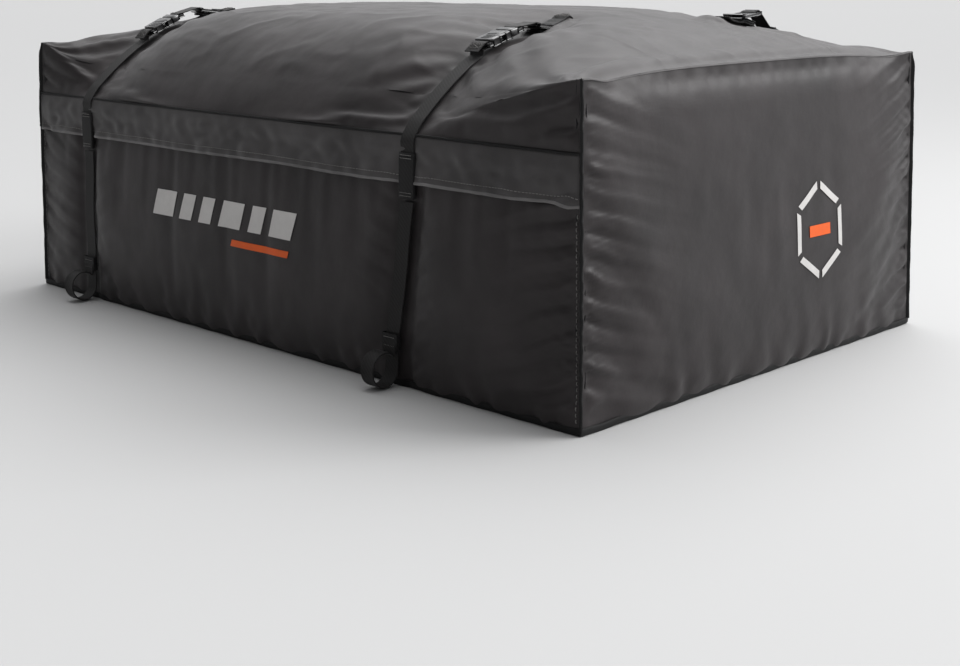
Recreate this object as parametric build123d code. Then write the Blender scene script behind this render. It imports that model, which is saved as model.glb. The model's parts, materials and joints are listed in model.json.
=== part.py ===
"""Soft-sided rooftop cargo bag: a fabric tub, a hinged domed lid with a covered zip, and four roof straps.

Millimetres. +X is the front end, +Z is up, and the origin is the middle of the box at the level it stands on.
"""

from build123d import *
import math
import os

# Bag body: a rectangular tub whose four walls lean inwards as they rise.
LENGTH = 1250.0
WIDTH = 800.0
EDGE_HEIGHT = 425.0
END_LEAN = 17.0 / EDGE_HEIGHT
SIDE_LEAN = 11.0 / EDGE_HEIGHT
SKIN = 3.0
CUT_PAST = 1.0
FRONT_TOP = 416.0

# The zip line round three sides, and the storm flap that hangs over it.
TUB_TOP = 303.0
TAPE = 1.0
TEETH_DEPTH = 3.0
TEETH_HEIGHT = 3.0
LOWER_TEETH_Z = 306.0
UPPER_TEETH_Z = 311.0
BAND_BOTTOM = 317.0
LID_SEAM = 339.0
FLAP_HEM = 278.0
FLAP_GAP = 2.0
FLAP_SKIN = 2.0
ZIP_FRONT_END = 600.0

# Lid dome: both profiles start at the lid seam and rise to the crown.
CROWN = 487.0
DOME_HALF_WIDTH = 391.0
DOME_POWER = 2.6
DOME_HALF_LENGTH = 611.0
DOME_END_POWER = 8.0
LID_FRONT_X = 603.0
LID_FRONT_Z = 424.0
LID_FRONT_POWER = 4.0
DOME_SKIN = 4.0
PROFILE_POINTS = 20

# The tight front and rear straps press shallow valleys across the lid: where, and how deep.
VALLEYS = ((322.0, 27.0), (-456.0, 12.0))
VALLEY_HALF = 60.0

# Webbing and its keepers.
WEB_WIDTH = 25.0
WEB = 2.0
STRAP_LIFT = 4.5
KEEPER_BOTTOM = 257.0
KEEPER_TOP = 317.0
STRAP_PIVOT_Z = 254.5
RAIL_STRAP_TOP = STRAP_PIVOT_Z - 2.0

# Loop that hugs a roof rail.
RING_INNER = 22.0
RING_SKIN = 2.5
RING_Y = 430.0
RING_Z = 27.5
CHOKE_BOTTOM = 50.0
CHOKE_TOP = 74.0

# Side-release buckle, measured from the strap end along the strap.
BUCKLE_WIDTH = 34.0
BUCKLE_THICK = 11.0
BUCKLE_LIFT = 7.0
SOCKET_START = 8.0
SOCKET_MOUTH = 44.0
CAVITY_START = 17.0
CAVITY_WIDTH = 28.0
CAVITY_THICK = 7.0
PLUG_START = 45.5
PLUG_END = 60.0
PLUG_FRAME = 9.0
WEB_BAR = 3.5
PRONG_TIP = 22.0
PRONG_ROOT = 45.0
PRONG_INNER = 9.5
PRONG_OUTER = 12.0
BARB_OUTER = 13.5
PRONG_THICK = 5.0
LOCK_START = 95.0
LOCK_LENGTH = 46.0
LOCK_WIDTH = 36.0
LOCK_THICK = 4.0
LOCK_LIFT = 13.0
LOCK_TILT = 6.0

# Where each strap crosses the bag: the place along it, how far its foot trails, where the buckle starts.
STRAPS = {
    "right_front": {"x": 322.0, "trail": 26.0, "buckle_y": 258.0, "side": "right"},
    "right_rear": {"x": -456.0, "trail": 4.0, "buckle_y": 268.0, "side": "right"},
    "left_front": {"x": 440.0, "trail": 20.0, "buckle_y": 295.0, "side": "left"},
    "left_rear": {"x": -456.0, "trail": 4.0, "buckle_y": 262.0, "side": "left"},
}

os.makedirs("parts", exist_ok=True)


def wall_y(z):
    """Distance from the centre plane to a side wall's outer face."""
    return WIDTH / 2 - SIDE_LEAN * z


def wall_x(z):
    """Distance from the centre plane to an end wall's outer face."""
    return LENGTH / 2 - END_LEAN * z


def dome_z(y):
    """Height of the lid across the bag."""
    return LID_SEAM + (CROWN - LID_SEAM) * (1 - (abs(y) / DOME_HALF_WIDTH) ** DOME_POWER)


def dome_point(y, lift):
    """A point lifted off the lid, as distance from the centre plane and height, with the slope there."""
    rise = CROWN - LID_SEAM
    steep = DOME_POWER * rise / DOME_HALF_WIDTH * (y / DOME_HALF_WIDTH) ** (DOME_POWER - 1)
    slope = math.atan(steep)
    return y + lift * math.sin(slope), dome_z(y) + lift * math.cos(slope), slope


def end_z(x):
    """Height of the lid along the bag: steep at the rear, cut by the front panel at the front."""
    dip = sum(depth * math.exp(-(((x - place) / VALLEY_HALF) ** 2)) for place, depth in VALLEYS)
    if x < 0:
        rise = CROWN + SKIN - LID_SEAM
        return LID_SEAM + rise * (1 - (-x / DOME_HALF_LENGTH) ** DOME_END_POWER) - dip
    rise = CROWN + SKIN - LID_FRONT_Z
    return LID_FRONT_Z + rise * (1 - (x / LID_FRONT_X) ** LID_FRONT_POWER) - dip


def lid_z(x, y):
    """Height of the lid's outer face."""
    return min(end_z(x), dome_z(y))


def block(x0, x1, y0, y1, z0, z1):
    return Pos((x0 + x1) / 2, (y0 + y1) / 2, (z0 + z1) / 2) * Box(x1 - x0, y1 - y0, z1 - z0)


def prism_x(outline, x0, x1):
    """A solid from an outline of (y, z) points, from x0 to x1."""
    face = make_face(Polyline(*[(x0, y, z) for y, z in outline], close=True))
    return extrude(face, amount=x1 - x0, dir=(1, 0, 0))


def prism_y(outline, y0, y1):
    """A solid from an outline of (x, z) points, from y0 to y1."""
    face = make_face(Polyline(*[(x, y0, z) for x, z in outline], close=True))
    return extrude(face, amount=y1 - y0, dir=(0, 1, 0))


def right_slab(u0, u1, z0, z1, x0, x1):
    """A plate parallel to the right wall, from u0 to u1 outside the wall's outer face."""
    outline = [
        (-wall_y(z0) - u0, z0),
        (-wall_y(z0) - u1, z0),
        (-wall_y(z1) - u1, z1),
        (-wall_y(z1) - u0, z1),
    ]
    return prism_x(outline, x0, x1)


def rear_slab(u0, u1, z0, z1, y0, y1):
    """A plate parallel to the rear wall, from u0 to u1 outside the wall's outer face."""
    outline = [
        (-wall_x(z0) - u0, z0),
        (-wall_x(z0) - u1, z0),
        (-wall_x(z1) - u1, z1),
        (-wall_x(z1) - u0, z1),
    ]
    return prism_y(outline, y0, y1)


def core(grow_x, grow_y, z0, z1):
    """The bag's outer block between two heights, grown by a margin on each side."""
    sections = []
    for z in (z0, z1):
        size_x = 2 * (wall_x(z) + grow_x)
        size_y = 2 * (wall_y(z) + grow_y)
        sections.append(Pos(0, 0, z) * Rectangle(size_x, size_y).face())
    return loft(sections, ruled=True)


def ring(u0, u1, z0, z1):
    """A band round all four walls, from u0 to u1 outside their outer faces."""
    return core(u1, u1, z0, z1) - core(u0, u0, z0, z1)


def three_sides(u0, u1, z0, z1):
    """A band round the rear and both sides, open at the front."""
    front_cut = block(ZIP_FRONT_END, LENGTH, -WIDTH, WIDTH, 0, EDGE_HEIGHT)
    return ring(u0, u1, z0, z1) - front_cut


def mirrored(shape):
    return mirror(shape, about=Plane.XZ)


def on_side(shape, side):
    """A shape drawn for the right side, moved to its own side."""
    return shape if side == "right" else mirrored(shape)


# The tub: floor, four walls, bindings and the lower half of the zip.


def base_panel():
    return core(-SKIN, -SKIN, 0, SKIN)


def side_panel(side):
    between_ends = core(-SKIN, WIDTH, 0, TUB_TOP)
    return on_side(right_slab(-SKIN, 0, 0, TUB_TOP, -LENGTH, LENGTH) & between_ends, side)


def rear_panel():
    full_width = core(LENGTH, 0, 0, TUB_TOP)
    return rear_slab(-SKIN, 0, 0, TUB_TOP, -WIDTH, WIDTH) & full_width


def front_panel():
    full_width = core(LENGTH, 0, 0, FRONT_TOP)
    plate = mirror(rear_slab(-SKIN, 0, 0, FRONT_TOP, -WIDTH, WIDTH), about=Plane.YZ)
    return plate & full_width


SEAM_HALF = 2.5
SEAM_OUT = 1.0
BASE_BINDING = 3.0
BASE_BINDING_BOTTOM = 1.0
BASE_BINDING_TOP = 9.0


def corner_seam(z0, z1, end):
    """A raised bound seam up the right-hand corner at one end."""
    sections = []
    for z in (z0, z1):
        x = end * (wall_x(z) + SEAM_OUT)
        y = -wall_y(z) - SEAM_OUT
        sections.append(Pos(x, y, z) * Rectangle(2 * SEAM_HALF, 2 * SEAM_HALF).face())
    return loft(sections, ruled=True) - core(0, 0, z0, z1)


def both_sides(shape):
    return Compound(children=[shape, mirrored(shape)])


def tub_corner_seams():
    front = corner_seam(BASE_BINDING_TOP, FRONT_TOP, 1)
    rear = corner_seam(BASE_BINDING_TOP, TUB_TOP, -1)
    return Compound(children=[front, mirrored(front), rear, mirrored(rear)])


def base_binding():
    return ring(0, BASE_BINDING, BASE_BINDING_BOTTOM, BASE_BINDING_TOP)


HINGE_TAPE_DEPTH = 4.5
HINGE_TAPE = 2.0
HINGE_TAPE_HALF = 380.0


def hinge_tape():
    """The sewn strip along the top of the front panel that the lid folds on."""
    outer = wall_x(FRONT_TOP)
    top = FRONT_TOP + HINGE_TAPE
    return block(outer - HINGE_TAPE_DEPTH, outer, -HINGE_TAPE_HALF, HINGE_TAPE_HALF, FRONT_TOP, top)


TAPE_BOTTOM = 292.0
TAPE_TOP = 330.0
TAPE_CLEAR = 0.2
TEETH_MID = -SKIN - TAPE_CLEAR - TAPE / 2


def zip_chain(tape_z0, tape_z1, teeth_z0):
    """Half of the zip: a woven tape with the row of teeth along its edge."""
    tape = three_sides(TEETH_MID - TAPE / 2, TEETH_MID + TAPE / 2, tape_z0, tape_z1)
    teeth_z1 = teeth_z0 + TEETH_HEIGHT
    teeth = three_sides(TEETH_MID - TEETH_DEPTH / 2, TEETH_MID + TEETH_DEPTH / 2, teeth_z0, teeth_z1)
    return tape + teeth


CLOSURE_BOTTOM = 283.0
CLOSURE_TOP = 300.0
CLOSURE = 0.7
CLOSURE_HALF_LENGTH = 585.0
CLOSURE_HALF_WIDTH = 365.0


def hook_strips():
    side = right_slab(0, CLOSURE, CLOSURE_BOTTOM, CLOSURE_TOP, -CLOSURE_HALF_LENGTH, CLOSURE_HALF_LENGTH)
    rear = rear_slab(0, CLOSURE, CLOSURE_BOTTOM, CLOSURE_TOP, -CLOSURE_HALF_WIDTH, CLOSURE_HALF_WIDTH)
    return Compound(children=[side, mirrored(side), rear])


def loop_strips():
    near = FLAP_GAP - CLOSURE
    side = right_slab(near, FLAP_GAP, CLOSURE_BOTTOM, CLOSURE_TOP, -CLOSURE_HALF_LENGTH, CLOSURE_HALF_LENGTH)
    return both_sides(side)


def rear_loop_strip():
    near = FLAP_GAP - CLOSURE
    return rear_slab(near, FLAP_GAP, CLOSURE_BOTTOM, CLOSURE_TOP, -CLOSURE_HALF_WIDTH, CLOSURE_HALF_WIDTH)


# The two zip sliders, which meet at the middle of the rear.

SLIDER_BOTTOM = 304.5
SLIDER_TOP = 315.5
SLIDER_LENGTH = 14.0
SLIDER_PLATE = 1.2
SLIDER_OFF = 2.0
SLIDER_NEAR_END = 2.0
POST_HALF = 0.6
POST_LENGTH = 3.0
BRIDGE_REACH = 2.1
BRIDGE_LEG = 2.0
BRIDGE_INSET = 1.0
PULL = 0.8
PULL_LENGTH = 30.0
PULL_BOTTOM = 305.5
PULL_TOP = 314.5
PULL_CLEAR = 0.3


def zip_slider(side):
    near = -SLIDER_NEAR_END - SLIDER_LENGTH
    far = -SLIDER_NEAR_END
    mid = TEETH_MID
    outer_face = mid + SLIDER_OFF + SLIDER_PLATE
    outer = rear_slab(mid + SLIDER_OFF, outer_face, SLIDER_BOTTOM, SLIDER_TOP, near, far)
    inner = rear_slab(mid - SLIDER_OFF - SLIDER_PLATE, mid - SLIDER_OFF, SLIDER_BOTTOM, SLIDER_TOP, near, far)
    split = (LOWER_TEETH_Z + TEETH_HEIGHT + UPPER_TEETH_Z) / 2
    post_near = far - POST_LENGTH
    post = rear_slab(mid - SLIDER_OFF, mid + SLIDER_OFF, split - POST_HALF, split + POST_HALF, post_near, far)
    bridge_near = near + BRIDGE_INSET
    bridge_far = far - BRIDGE_INSET
    bridge_top = outer_face + BRIDGE_REACH
    bridge_low = split - BRIDGE_LEG
    bridge_high = split + BRIDGE_LEG
    bridge = rear_slab(outer_face, bridge_top, bridge_low, bridge_high, bridge_near, bridge_far)
    slot_top = bridge_top - SLIDER_PLATE / 2
    slot_near = bridge_near + BRIDGE_LEG
    slot_far = bridge_far - BRIDGE_LEG
    slot = rear_slab(outer_face, slot_top, SLIDER_BOTTOM, SLIDER_TOP, slot_near, slot_far)
    return on_side(outer + inner + post + (bridge - slot), side)


def zip_pull(side):
    near = -SLIDER_NEAR_END - SLIDER_LENGTH
    far = -SLIDER_NEAR_END
    low = TEETH_MID + SLIDER_OFF + SLIDER_PLATE + PULL_CLEAR
    end = far - BRIDGE_INSET - BRIDGE_LEG - PULL_CLEAR
    tab = rear_slab(low, low + PULL, PULL_BOTTOM, PULL_TOP, near - PULL_LENGTH + SLIDER_LENGTH, end)
    leg = rear_slab(
        low - CUT_PAST,
        low + PULL + CUT_PAST,
        (SLIDER_BOTTOM + SLIDER_TOP) / 2 - BRIDGE_LEG - PULL_CLEAR,
        (SLIDER_BOTTOM + SLIDER_TOP) / 2 + BRIDGE_LEG + PULL_CLEAR,
        near + BRIDGE_INSET - PULL_CLEAR,
        near + BRIDGE_INSET + BRIDGE_LEG + PULL_CLEAR,
    )
    return on_side(tab - leg, side)


# The lid: domed top, band above the zip, storm flaps.


def profile_solid(points, low, along):
    """A solid under a smooth profile, as long or as wide as the bag and down to the lid seam."""
    spread = WIDTH if along == "x" else LENGTH
    if along == "x":
        knots = [(-spread, a, b) for a, b in points]
        direction = (1, 0, 0)
    else:
        knots = [(a, -spread, b) for a, b in points]
        direction = (0, 1, 0)
    first = knots[0][:2] + (low,)
    last = knots[-1][:2] + (low,)
    top = Spline(*knots)
    if first == knots[0]:
        sides = [Line(knots[-1], last), Line(last, first)] if last != knots[-1] else [Line(last, first)]
    else:
        sides = [Line(knots[-1], last), Line(last, first), Line(first, knots[0])]
    face = make_face([top] + sides)
    return extrude(face, amount=2 * spread, dir=direction)


def dome(inset):
    """The lid's outer shape, shrunk by an inset."""
    half_width = DOME_HALF_WIDTH - inset
    across = []
    for i in range(-PROFILE_POINTS, PROFILE_POINTS + 1):
        share = math.sin(math.pi / 2 * i / PROFILE_POINTS)
        across.append((half_width * share, dome_z(DOME_HALF_WIDTH * share) - inset))
    along = []
    for i in range(-PROFILE_POINTS, PROFILE_POINTS + 1):
        share = math.sin(math.pi / 2 * i / PROFILE_POINTS)
        reach = DOME_HALF_LENGTH if share < 0 else LID_FRONT_X
        shrunk = reach - inset if share < 0 else reach
        along.append((shrunk * share, end_z(reach * share) - inset))
    low = LID_SEAM - inset
    return profile_solid(across, low, "x") & profile_solid(along, low, "y")


GORE_CUTS_X = (-550.0, -456.0, -70.0, 322.0)
GORE_CUT_Y = 300.0


def lid_top_panel():
    """The domed top, as gores side by side. Each is nearly flat, so the hollow under the lid stays open."""
    shell = dome(0) - dome(DOME_SKIN)
    edges_x = (-LENGTH,) + GORE_CUTS_X + (LENGTH,)
    edges_y = (-WIDTH, -GORE_CUT_Y, GORE_CUT_Y, WIDTH)
    gores = []
    for x0, x1 in zip(edges_x[:-1], edges_x[1:]):
        for y0, y1 in zip(edges_y[:-1], edges_y[1:]):
            gores.append(shell & block(x0, x1, y0, y1, LID_SEAM, LENGTH))
    return Compound(children=gores)


def lid_side_band(side):
    between_ends = core(-SKIN, WIDTH, BAND_BOTTOM, LID_SEAM)
    plate = right_slab(-SKIN, 0, BAND_BOTTOM, LID_SEAM, -LENGTH, ZIP_FRONT_END)
    return on_side(plate & between_ends, side)


def lid_rear_band():
    full_width = core(LENGTH, 0, BAND_BOTTOM, LID_SEAM)
    return rear_slab(-SKIN, 0, BAND_BOTTOM, LID_SEAM, -WIDTH, WIDTH) & full_width


def lid_corner_seams():
    return both_sides(corner_seam(BAND_BOTTOM, LID_SEAM, -1))


FLAP_REAR_END = -604.0
FLAP_FRONT_END = 602.0
REAR_FLAP_HALF = 384.0
REAR_FLAP_TOP = LID_SEAM - 1.5
FLAP_SEWN_SHORT = 2.0


def storm_flap(side):
    hung = right_slab(FLAP_GAP, FLAP_GAP + FLAP_SKIN, FLAP_HEM, LID_SEAM, FLAP_REAR_END, FLAP_FRONT_END)
    sewn_end = FLAP_FRONT_END - FLAP_SEWN_SHORT
    sewn = right_slab(0, FLAP_GAP, LID_SEAM - SKIN, LID_SEAM, FLAP_REAR_END, sewn_end)
    return on_side(hung + sewn, side)


def rear_storm_flap():
    return rear_slab(FLAP_GAP, FLAP_GAP + FLAP_SKIN, FLAP_HEM, REAR_FLAP_TOP, -REAR_FLAP_HALF, REAR_FLAP_HALF)


# Webbing: keeper on the band, strap over the shoulder, and the part that hangs to the rail.

KEEPER_WALL = 1.5
KEEPER_CLEAR = 0.5
KEEPER_BACK = 4.2


def keeper(place):
    half = WEB_WIDTH / 2 + KEEPER_CLEAR
    middle = place["x"]
    outer = STRAP_LIFT + WEB + KEEPER_CLEAR
    whole = right_slab(
        KEEPER_BACK,
        outer + KEEPER_WALL,
        KEEPER_BOTTOM,
        KEEPER_TOP,
        middle - half - KEEPER_WALL,
        middle + half + KEEPER_WALL,
    )
    channel_low = KEEPER_BOTTOM - CUT_PAST
    channel_high = KEEPER_TOP + CUT_PAST
    channel = right_slab(-SKIN, outer, channel_low, channel_high, middle - half, middle + half)
    return on_side(whole - channel, place["side"])


def strap_keepers():
    return Compound(children=[keeper(place) for place in STRAPS.values()])


SHOULDER_STEPS = 6
SHOULDER_START = 0.965
SHOULDER_FOOT = KEEPER_BOTTOM - 1.0
SHOULDER_TURN = LID_SEAM + 1.0


def shoulder_strap(place):
    """Webbing up the band, over the lid's shoulder and as far as the buckle's loop."""
    inner = []
    outer = []
    for z in (SHOULDER_FOOT, SHOULDER_TURN):
        inner.append((-wall_y(z) - STRAP_LIFT, z))
        outer.append((-wall_y(z) - STRAP_LIFT - WEB, z))
    first = DOME_HALF_WIDTH * SHOULDER_START
    last = place["buckle_y"]
    for i in range(SHOULDER_STEPS + 1):
        y = first + (last - first) * i / SHOULDER_STEPS
        near = dome_point(y, STRAP_LIFT)
        far = dome_point(y, STRAP_LIFT + WEB)
        inner.append((-near[0], near[1]))
        outer.append((-far[0], far[1]))
    x0 = place["x"] - WEB_WIDTH / 2
    band = prism_x(inner + outer[::-1], x0, x0 + WEB_WIDTH)
    return on_side(band + web_loop(place), place["side"])


CHOKE_SIDE = 2.0
CHOKE_OUT = 5.0
CHOKE_IN = 1.0


def rail_strap(place):
    """Webbing from the keeper down to a sewn choke and a loop round the rail."""
    top_y = -wall_y(RAIL_STRAP_TOP) - STRAP_LIFT
    foot_y = -RING_Y + RING_INNER + RING_SKIN
    half = WEB_WIDTH / 2
    top_x = place["x"]
    foot_x = place["x"] - place["trail"]
    sections = []
    for x, y, z in ((foot_x, foot_y - WEB, CHOKE_BOTTOM), (top_x, top_y - WEB, RAIL_STRAP_TOP)):
        sections.append(Pos(x, y + WEB / 2, z) * Rectangle(2 * half, WEB).face())
    run = loft(sections, ruled=True)
    disc = Plane((foot_x - half, -RING_Y, RING_Z), x_dir=(0, 1, 0), z_dir=(1, 0, 0))
    loop = extrude(disc * Circle(RING_INNER + RING_SKIN), amount=2 * half)
    hole = extrude(disc * Circle(RING_INNER), amount=2 * half)
    hook = block(foot_x - half, foot_x + half, foot_y - RING_SKIN, foot_y, RING_Z, CHOKE_TOP)
    choke_half = half + CHOKE_SIDE
    choke_y = (foot_y - CHOKE_OUT, foot_y + CHOKE_IN)
    choke = block(foot_x - choke_half, foot_x + choke_half, *choke_y, CHOKE_BOTTOM, CHOKE_TOP)
    return on_side(run + hook + (loop - hole) + choke, place["side"])


# Side-release buckle, drawn in its own frame: s along the strap, t across it, h off the lid.


def sloping_plane(x, y, z, slope):
    """A frame whose first axis runs inwards along a slope and whose third is square to it."""
    along = (0, math.cos(slope), math.sin(slope))
    off = (0, -math.sin(slope), math.cos(slope))
    return Plane((x, y, z), x_dir=along, z_dir=off)


def buckle_frame(place):
    """The buckle lies on the chord of the lid between its two ends."""
    outer = place["buckle_y"]
    inner = outer - PLUG_END - PLUG_FRAME
    slope = math.atan2(lid_z(place["x"], inner) - dome_z(outer), outer - inner)
    y = outer + BUCKLE_LIFT * math.sin(slope)
    z = dome_z(outer) + BUCKLE_LIFT * math.cos(slope)
    return sloping_plane(place["x"], -y, z, slope)


def lock_frame(place):
    """The adjuster plate starts high, where the short webbing pulls it, and tips down to the lid."""
    y = place["buckle_y"] - LOCK_START
    z = lid_z(place["x"], y - LOCK_LENGTH / 2) + LOCK_LIFT
    return sloping_plane(place["x"], -y, z, -math.radians(LOCK_TILT))


def bar(s0, s1, t0, t1, h0, h1):
    """A box in buckle coordinates."""
    return block(s0, s1, t0, t1, h0, h1)


LOOP_TAIL = 8.0
LOOP_WALL = 1.0


def web_loop(place):
    """The sewn end of the webbing, folded round the socket's bar."""
    half = WEB_WIDTH / 2
    mid = BUCKLE_THICK / 2
    reach = WEB_BAR / 2 + KEEPER_CLEAR
    end = WEB_BAR + 2 * KEEPER_CLEAR + LOOP_WALL
    outer = bar(-LOOP_TAIL, end, -half, half, 0, BUCKLE_THICK - LOOP_WALL)
    gap = bar(-KEEPER_CLEAR, WEB_BAR + KEEPER_CLEAR, -half, half, mid - reach, mid + reach)
    return buckle_frame(place) * (outer - gap)


def web_frame(s0, s1, bar_start):
    """Two side arms and a cross bar that webbing folds round, from s0 to s1."""
    half = BUCKLE_WIDTH / 2
    arm = half - WEB_WIDTH / 2 - KEEPER_CLEAR
    mid = BUCKLE_THICK / 2
    low = mid - WEB_BAR / 2
    high = mid + WEB_BAR / 2
    arms = bar(s0, s1, -half, -half + arm, low, high) + bar(s0, s1, half - arm, half, low, high)
    return arms + bar(bar_start, bar_start + WEB_BAR, -half, half, low, high)


WINDOW_LENGTH = 12.0


def buckle_socket(place):
    half = BUCKLE_WIDTH / 2
    mid = BUCKLE_THICK / 2
    shell = bar(SOCKET_START, SOCKET_MOUTH, -half, half, 0, BUCKLE_THICK)
    cavity = bar(
        CAVITY_START,
        SOCKET_MOUTH + CUT_PAST,
        -CAVITY_WIDTH / 2,
        CAVITY_WIDTH / 2,
        mid - CAVITY_THICK / 2,
        mid + CAVITY_THICK / 2,
    )
    windows = bar(
        PRONG_TIP,
        PRONG_TIP + WINDOW_LENGTH,
        -half - CUT_PAST,
        half + CUT_PAST,
        mid - CAVITY_THICK / 2,
        mid + CAVITY_THICK / 2,
    )
    body = shell - cavity - windows + web_frame(0, SOCKET_START, 0)
    return on_side(buckle_frame(place) * body, place["side"])


HEAD_INSET = 0.5
TONGUE_SHORT = 2.0
TONGUE_HALF = 2.5


def buckle_plug(place):
    half = BUCKLE_WIDTH / 2
    mid = BUCKLE_THICK / 2
    head = bar(PLUG_START, PLUG_END, -half, half, HEAD_INSET, BUCKLE_THICK - HEAD_INSET)
    tongue_low = mid - PRONG_THICK / 2
    tongue_high = mid + PRONG_THICK / 2
    tongue = bar(PRONG_TIP + TONGUE_SHORT, PLUG_START, -TONGUE_HALF, TONGUE_HALF, tongue_low, tongue_high)
    end = PLUG_END + PLUG_FRAME
    frame = web_frame(PLUG_END, end, end - WEB_BAR)
    return on_side(buckle_frame(place) * (head + tongue + frame), place["side"])


TIP_WIDTH = 1.0
BARB_START = 4.0
BARB_END = 8.0
BARB_BACK = 9.0


def buckle_prong(place, hand):
    """One springy arm of the plug, with its barb; hand is +1 or -1 across the strap."""
    mid = BUCKLE_THICK / 2
    outline = [
        (PRONG_TIP, PRONG_INNER),
        (PRONG_ROOT, PRONG_INNER),
        (PRONG_ROOT, PRONG_OUTER),
        (PRONG_TIP + BARB_BACK, PRONG_OUTER),
        (PRONG_TIP + BARB_END, BARB_OUTER),
        (PRONG_TIP + BARB_START, BARB_OUTER),
        (PRONG_TIP, PRONG_INNER + TIP_WIDTH),
    ]
    flat = make_face(Polyline(*[(s, hand * t) for s, t in outline], close=True))
    arm = extrude(Pos(0, 0, mid - PRONG_THICK / 2) * flat, amount=PRONG_THICK, dir=(0, 0, 1))
    return on_side(buckle_frame(place) * arm, place["side"])


FOLD_GAP = 0.4
LOCK_BAR = 7.0
LOCK_SLOT = 9.0
LOCK_MIDDLE_BAR = 8.0
LOCK_LIP = 4.0
LOCK_SIDE_CLEAR = 1.0


def ladder_lock(place):
    """The tilted adjuster plate with two slots and a raised lip to pull on."""
    half = LOCK_WIDTH / 2
    slot = WEB_WIDTH / 2 + LOCK_SIDE_CLEAR
    plate = bar(0, LOCK_LENGTH, -half, half, 0, LOCK_THICK)
    for s in (LOCK_BAR, LOCK_BAR + LOCK_SLOT + LOCK_MIDDLE_BAR):
        plate -= bar(s, s + LOCK_SLOT, -slot, slot, -CUT_PAST, LOCK_THICK + CUT_PAST)
    lip = bar(LOCK_LENGTH - LOCK_LIP, LOCK_LENGTH, -half, half, LOCK_THICK, LOCK_THICK + LOCK_LIP)
    return on_side(lock_frame(place) * (plate + lip), place["side"])


def fold(start, end, low, high):
    """Webbing folded round a bar, drawn as a sleeve one web thick."""
    half = WEB_WIDTH / 2
    skin = FOLD_GAP + WEB
    sleeve = bar(start - skin, end + skin, -half, half, low - skin, high + skin)
    reach = half + CUT_PAST
    inside = bar(start - FOLD_GAP, end + FOLD_GAP, -reach, reach, low - FOLD_GAP, high + FOLD_GAP)
    return sleeve - inside


def tail_web(place):
    """Short webbing from the plug's bar to the adjuster plate's first bar."""
    mid = BUCKLE_THICK / 2
    bar_end = PLUG_END + PLUG_FRAME
    at_plug = buckle_frame(place) * fold(bar_end - WEB_BAR, bar_end, mid - WEB_BAR / 2, mid + WEB_BAR / 2)
    at_lock = lock_frame(place) * fold(0, LOCK_BAR, 0, LOCK_THICK)
    start = buckle_frame(place).from_local_coords(Vector(bar_end + FOLD_GAP + WEB / 2, 0, mid))
    end = lock_frame(place).from_local_coords(Vector(-FOLD_GAP - WEB / 2, 0, LOCK_THICK / 2))
    outline = [
        (start.Y, start.Z - WEB / 2),
        (end.Y, end.Z - WEB / 2),
        (end.Y, end.Z + WEB / 2),
        (start.Y, start.Z + WEB / 2),
    ]
    x0 = place["x"] - WEB_WIDTH / 2
    return on_side(at_plug + at_lock + prism_x(outline, x0, x0 + WEB_WIDTH), place["side"])


ANCHOR_OFF = 3.6
ANCHOR_REACH = 22.0
ANCHOR_STEPS = 4


def anchor(place):
    """Webbing sewn flat to the lid under the adjuster plate."""
    outer = place["buckle_y"] - LOCK_START - LOCK_LENGTH / 3
    inner = outer - LOCK_LENGTH - ANCHOR_REACH
    low = []
    for i in range(ANCHOR_STEPS + 1):
        y = outer + (inner - outer) * i / ANCHOR_STEPS
        low.append((-y, lid_z(place["x"], y) + ANCHOR_OFF))
    high = [(y, z + WEB) for y, z in low]
    x0 = place["x"] - WEB_WIDTH / 2
    return on_side(prism_x(low + high[::-1], x0, x0 + WEB_WIDTH), place["side"])


def lid_anchors():
    return Compound(children=[anchor(place) for place in STRAPS.values()])


def build():
    """Every piece of the bag, by name."""
    pieces = {
        "base_panel": base_panel(),
        "right_side_panel": side_panel("right"),
        "left_side_panel": side_panel("left"),
        "rear_panel": rear_panel(),
        "front_panel": front_panel(),
        "tub_corner_seams": tub_corner_seams(),
        "base_binding": base_binding(),
        "hinge_tape": hinge_tape(),
        "lower_zip_chain": zip_chain(TAPE_BOTTOM, LOWER_TEETH_Z, LOWER_TEETH_Z),
        "hook_strips": hook_strips(),
        "lid_top_panel": lid_top_panel(),
        "lid_right_band": lid_side_band("right"),
        "lid_left_band": lid_side_band("left"),
        "lid_rear_band": lid_rear_band(),
        "lid_corner_seams": lid_corner_seams(),
        "upper_zip_chain": zip_chain(UPPER_TEETH_Z + TEETH_HEIGHT, TAPE_TOP, UPPER_TEETH_Z),
        "storm_flap_right": storm_flap("right"),
        "storm_flap_left": storm_flap("left"),
        "loop_strips": loop_strips(),
        "storm_flap_rear": rear_storm_flap(),
        "loop_strip_rear": rear_loop_strip(),
        "strap_keepers": strap_keepers(),
        "lid_anchors": lid_anchors(),
    }
    for side in ("right", "left"):
        pieces["zip_slider_" + side] = zip_slider(side)
        pieces["zip_pull_" + side] = zip_pull(side)
    for name, place in STRAPS.items():
        pieces["shoulder_strap_" + name] = shoulder_strap(place)
        pieces["rail_strap_" + name] = rail_strap(place)
        pieces["buckle_socket_" + name] = buckle_socket(place)
        pieces["buckle_plug_" + name] = buckle_plug(place)
        pieces["prong_a_" + name] = buckle_prong(place, 1)
        pieces["prong_b_" + name] = buckle_prong(place, -1)
        pieces["ladder_lock_" + name] = ladder_lock(place)
        pieces["tail_web_" + name] = tail_web(place)
    return pieces


for name, piece in build().items():
    export_step(piece, "parts/" + name + ".step")
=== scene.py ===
"""Soft rooftop cargo bag: the looks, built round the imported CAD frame. Metres, +X front, +Z up."""

import bmesh
import bpy
import json
import math
import numpy as np
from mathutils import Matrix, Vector, noise


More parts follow.
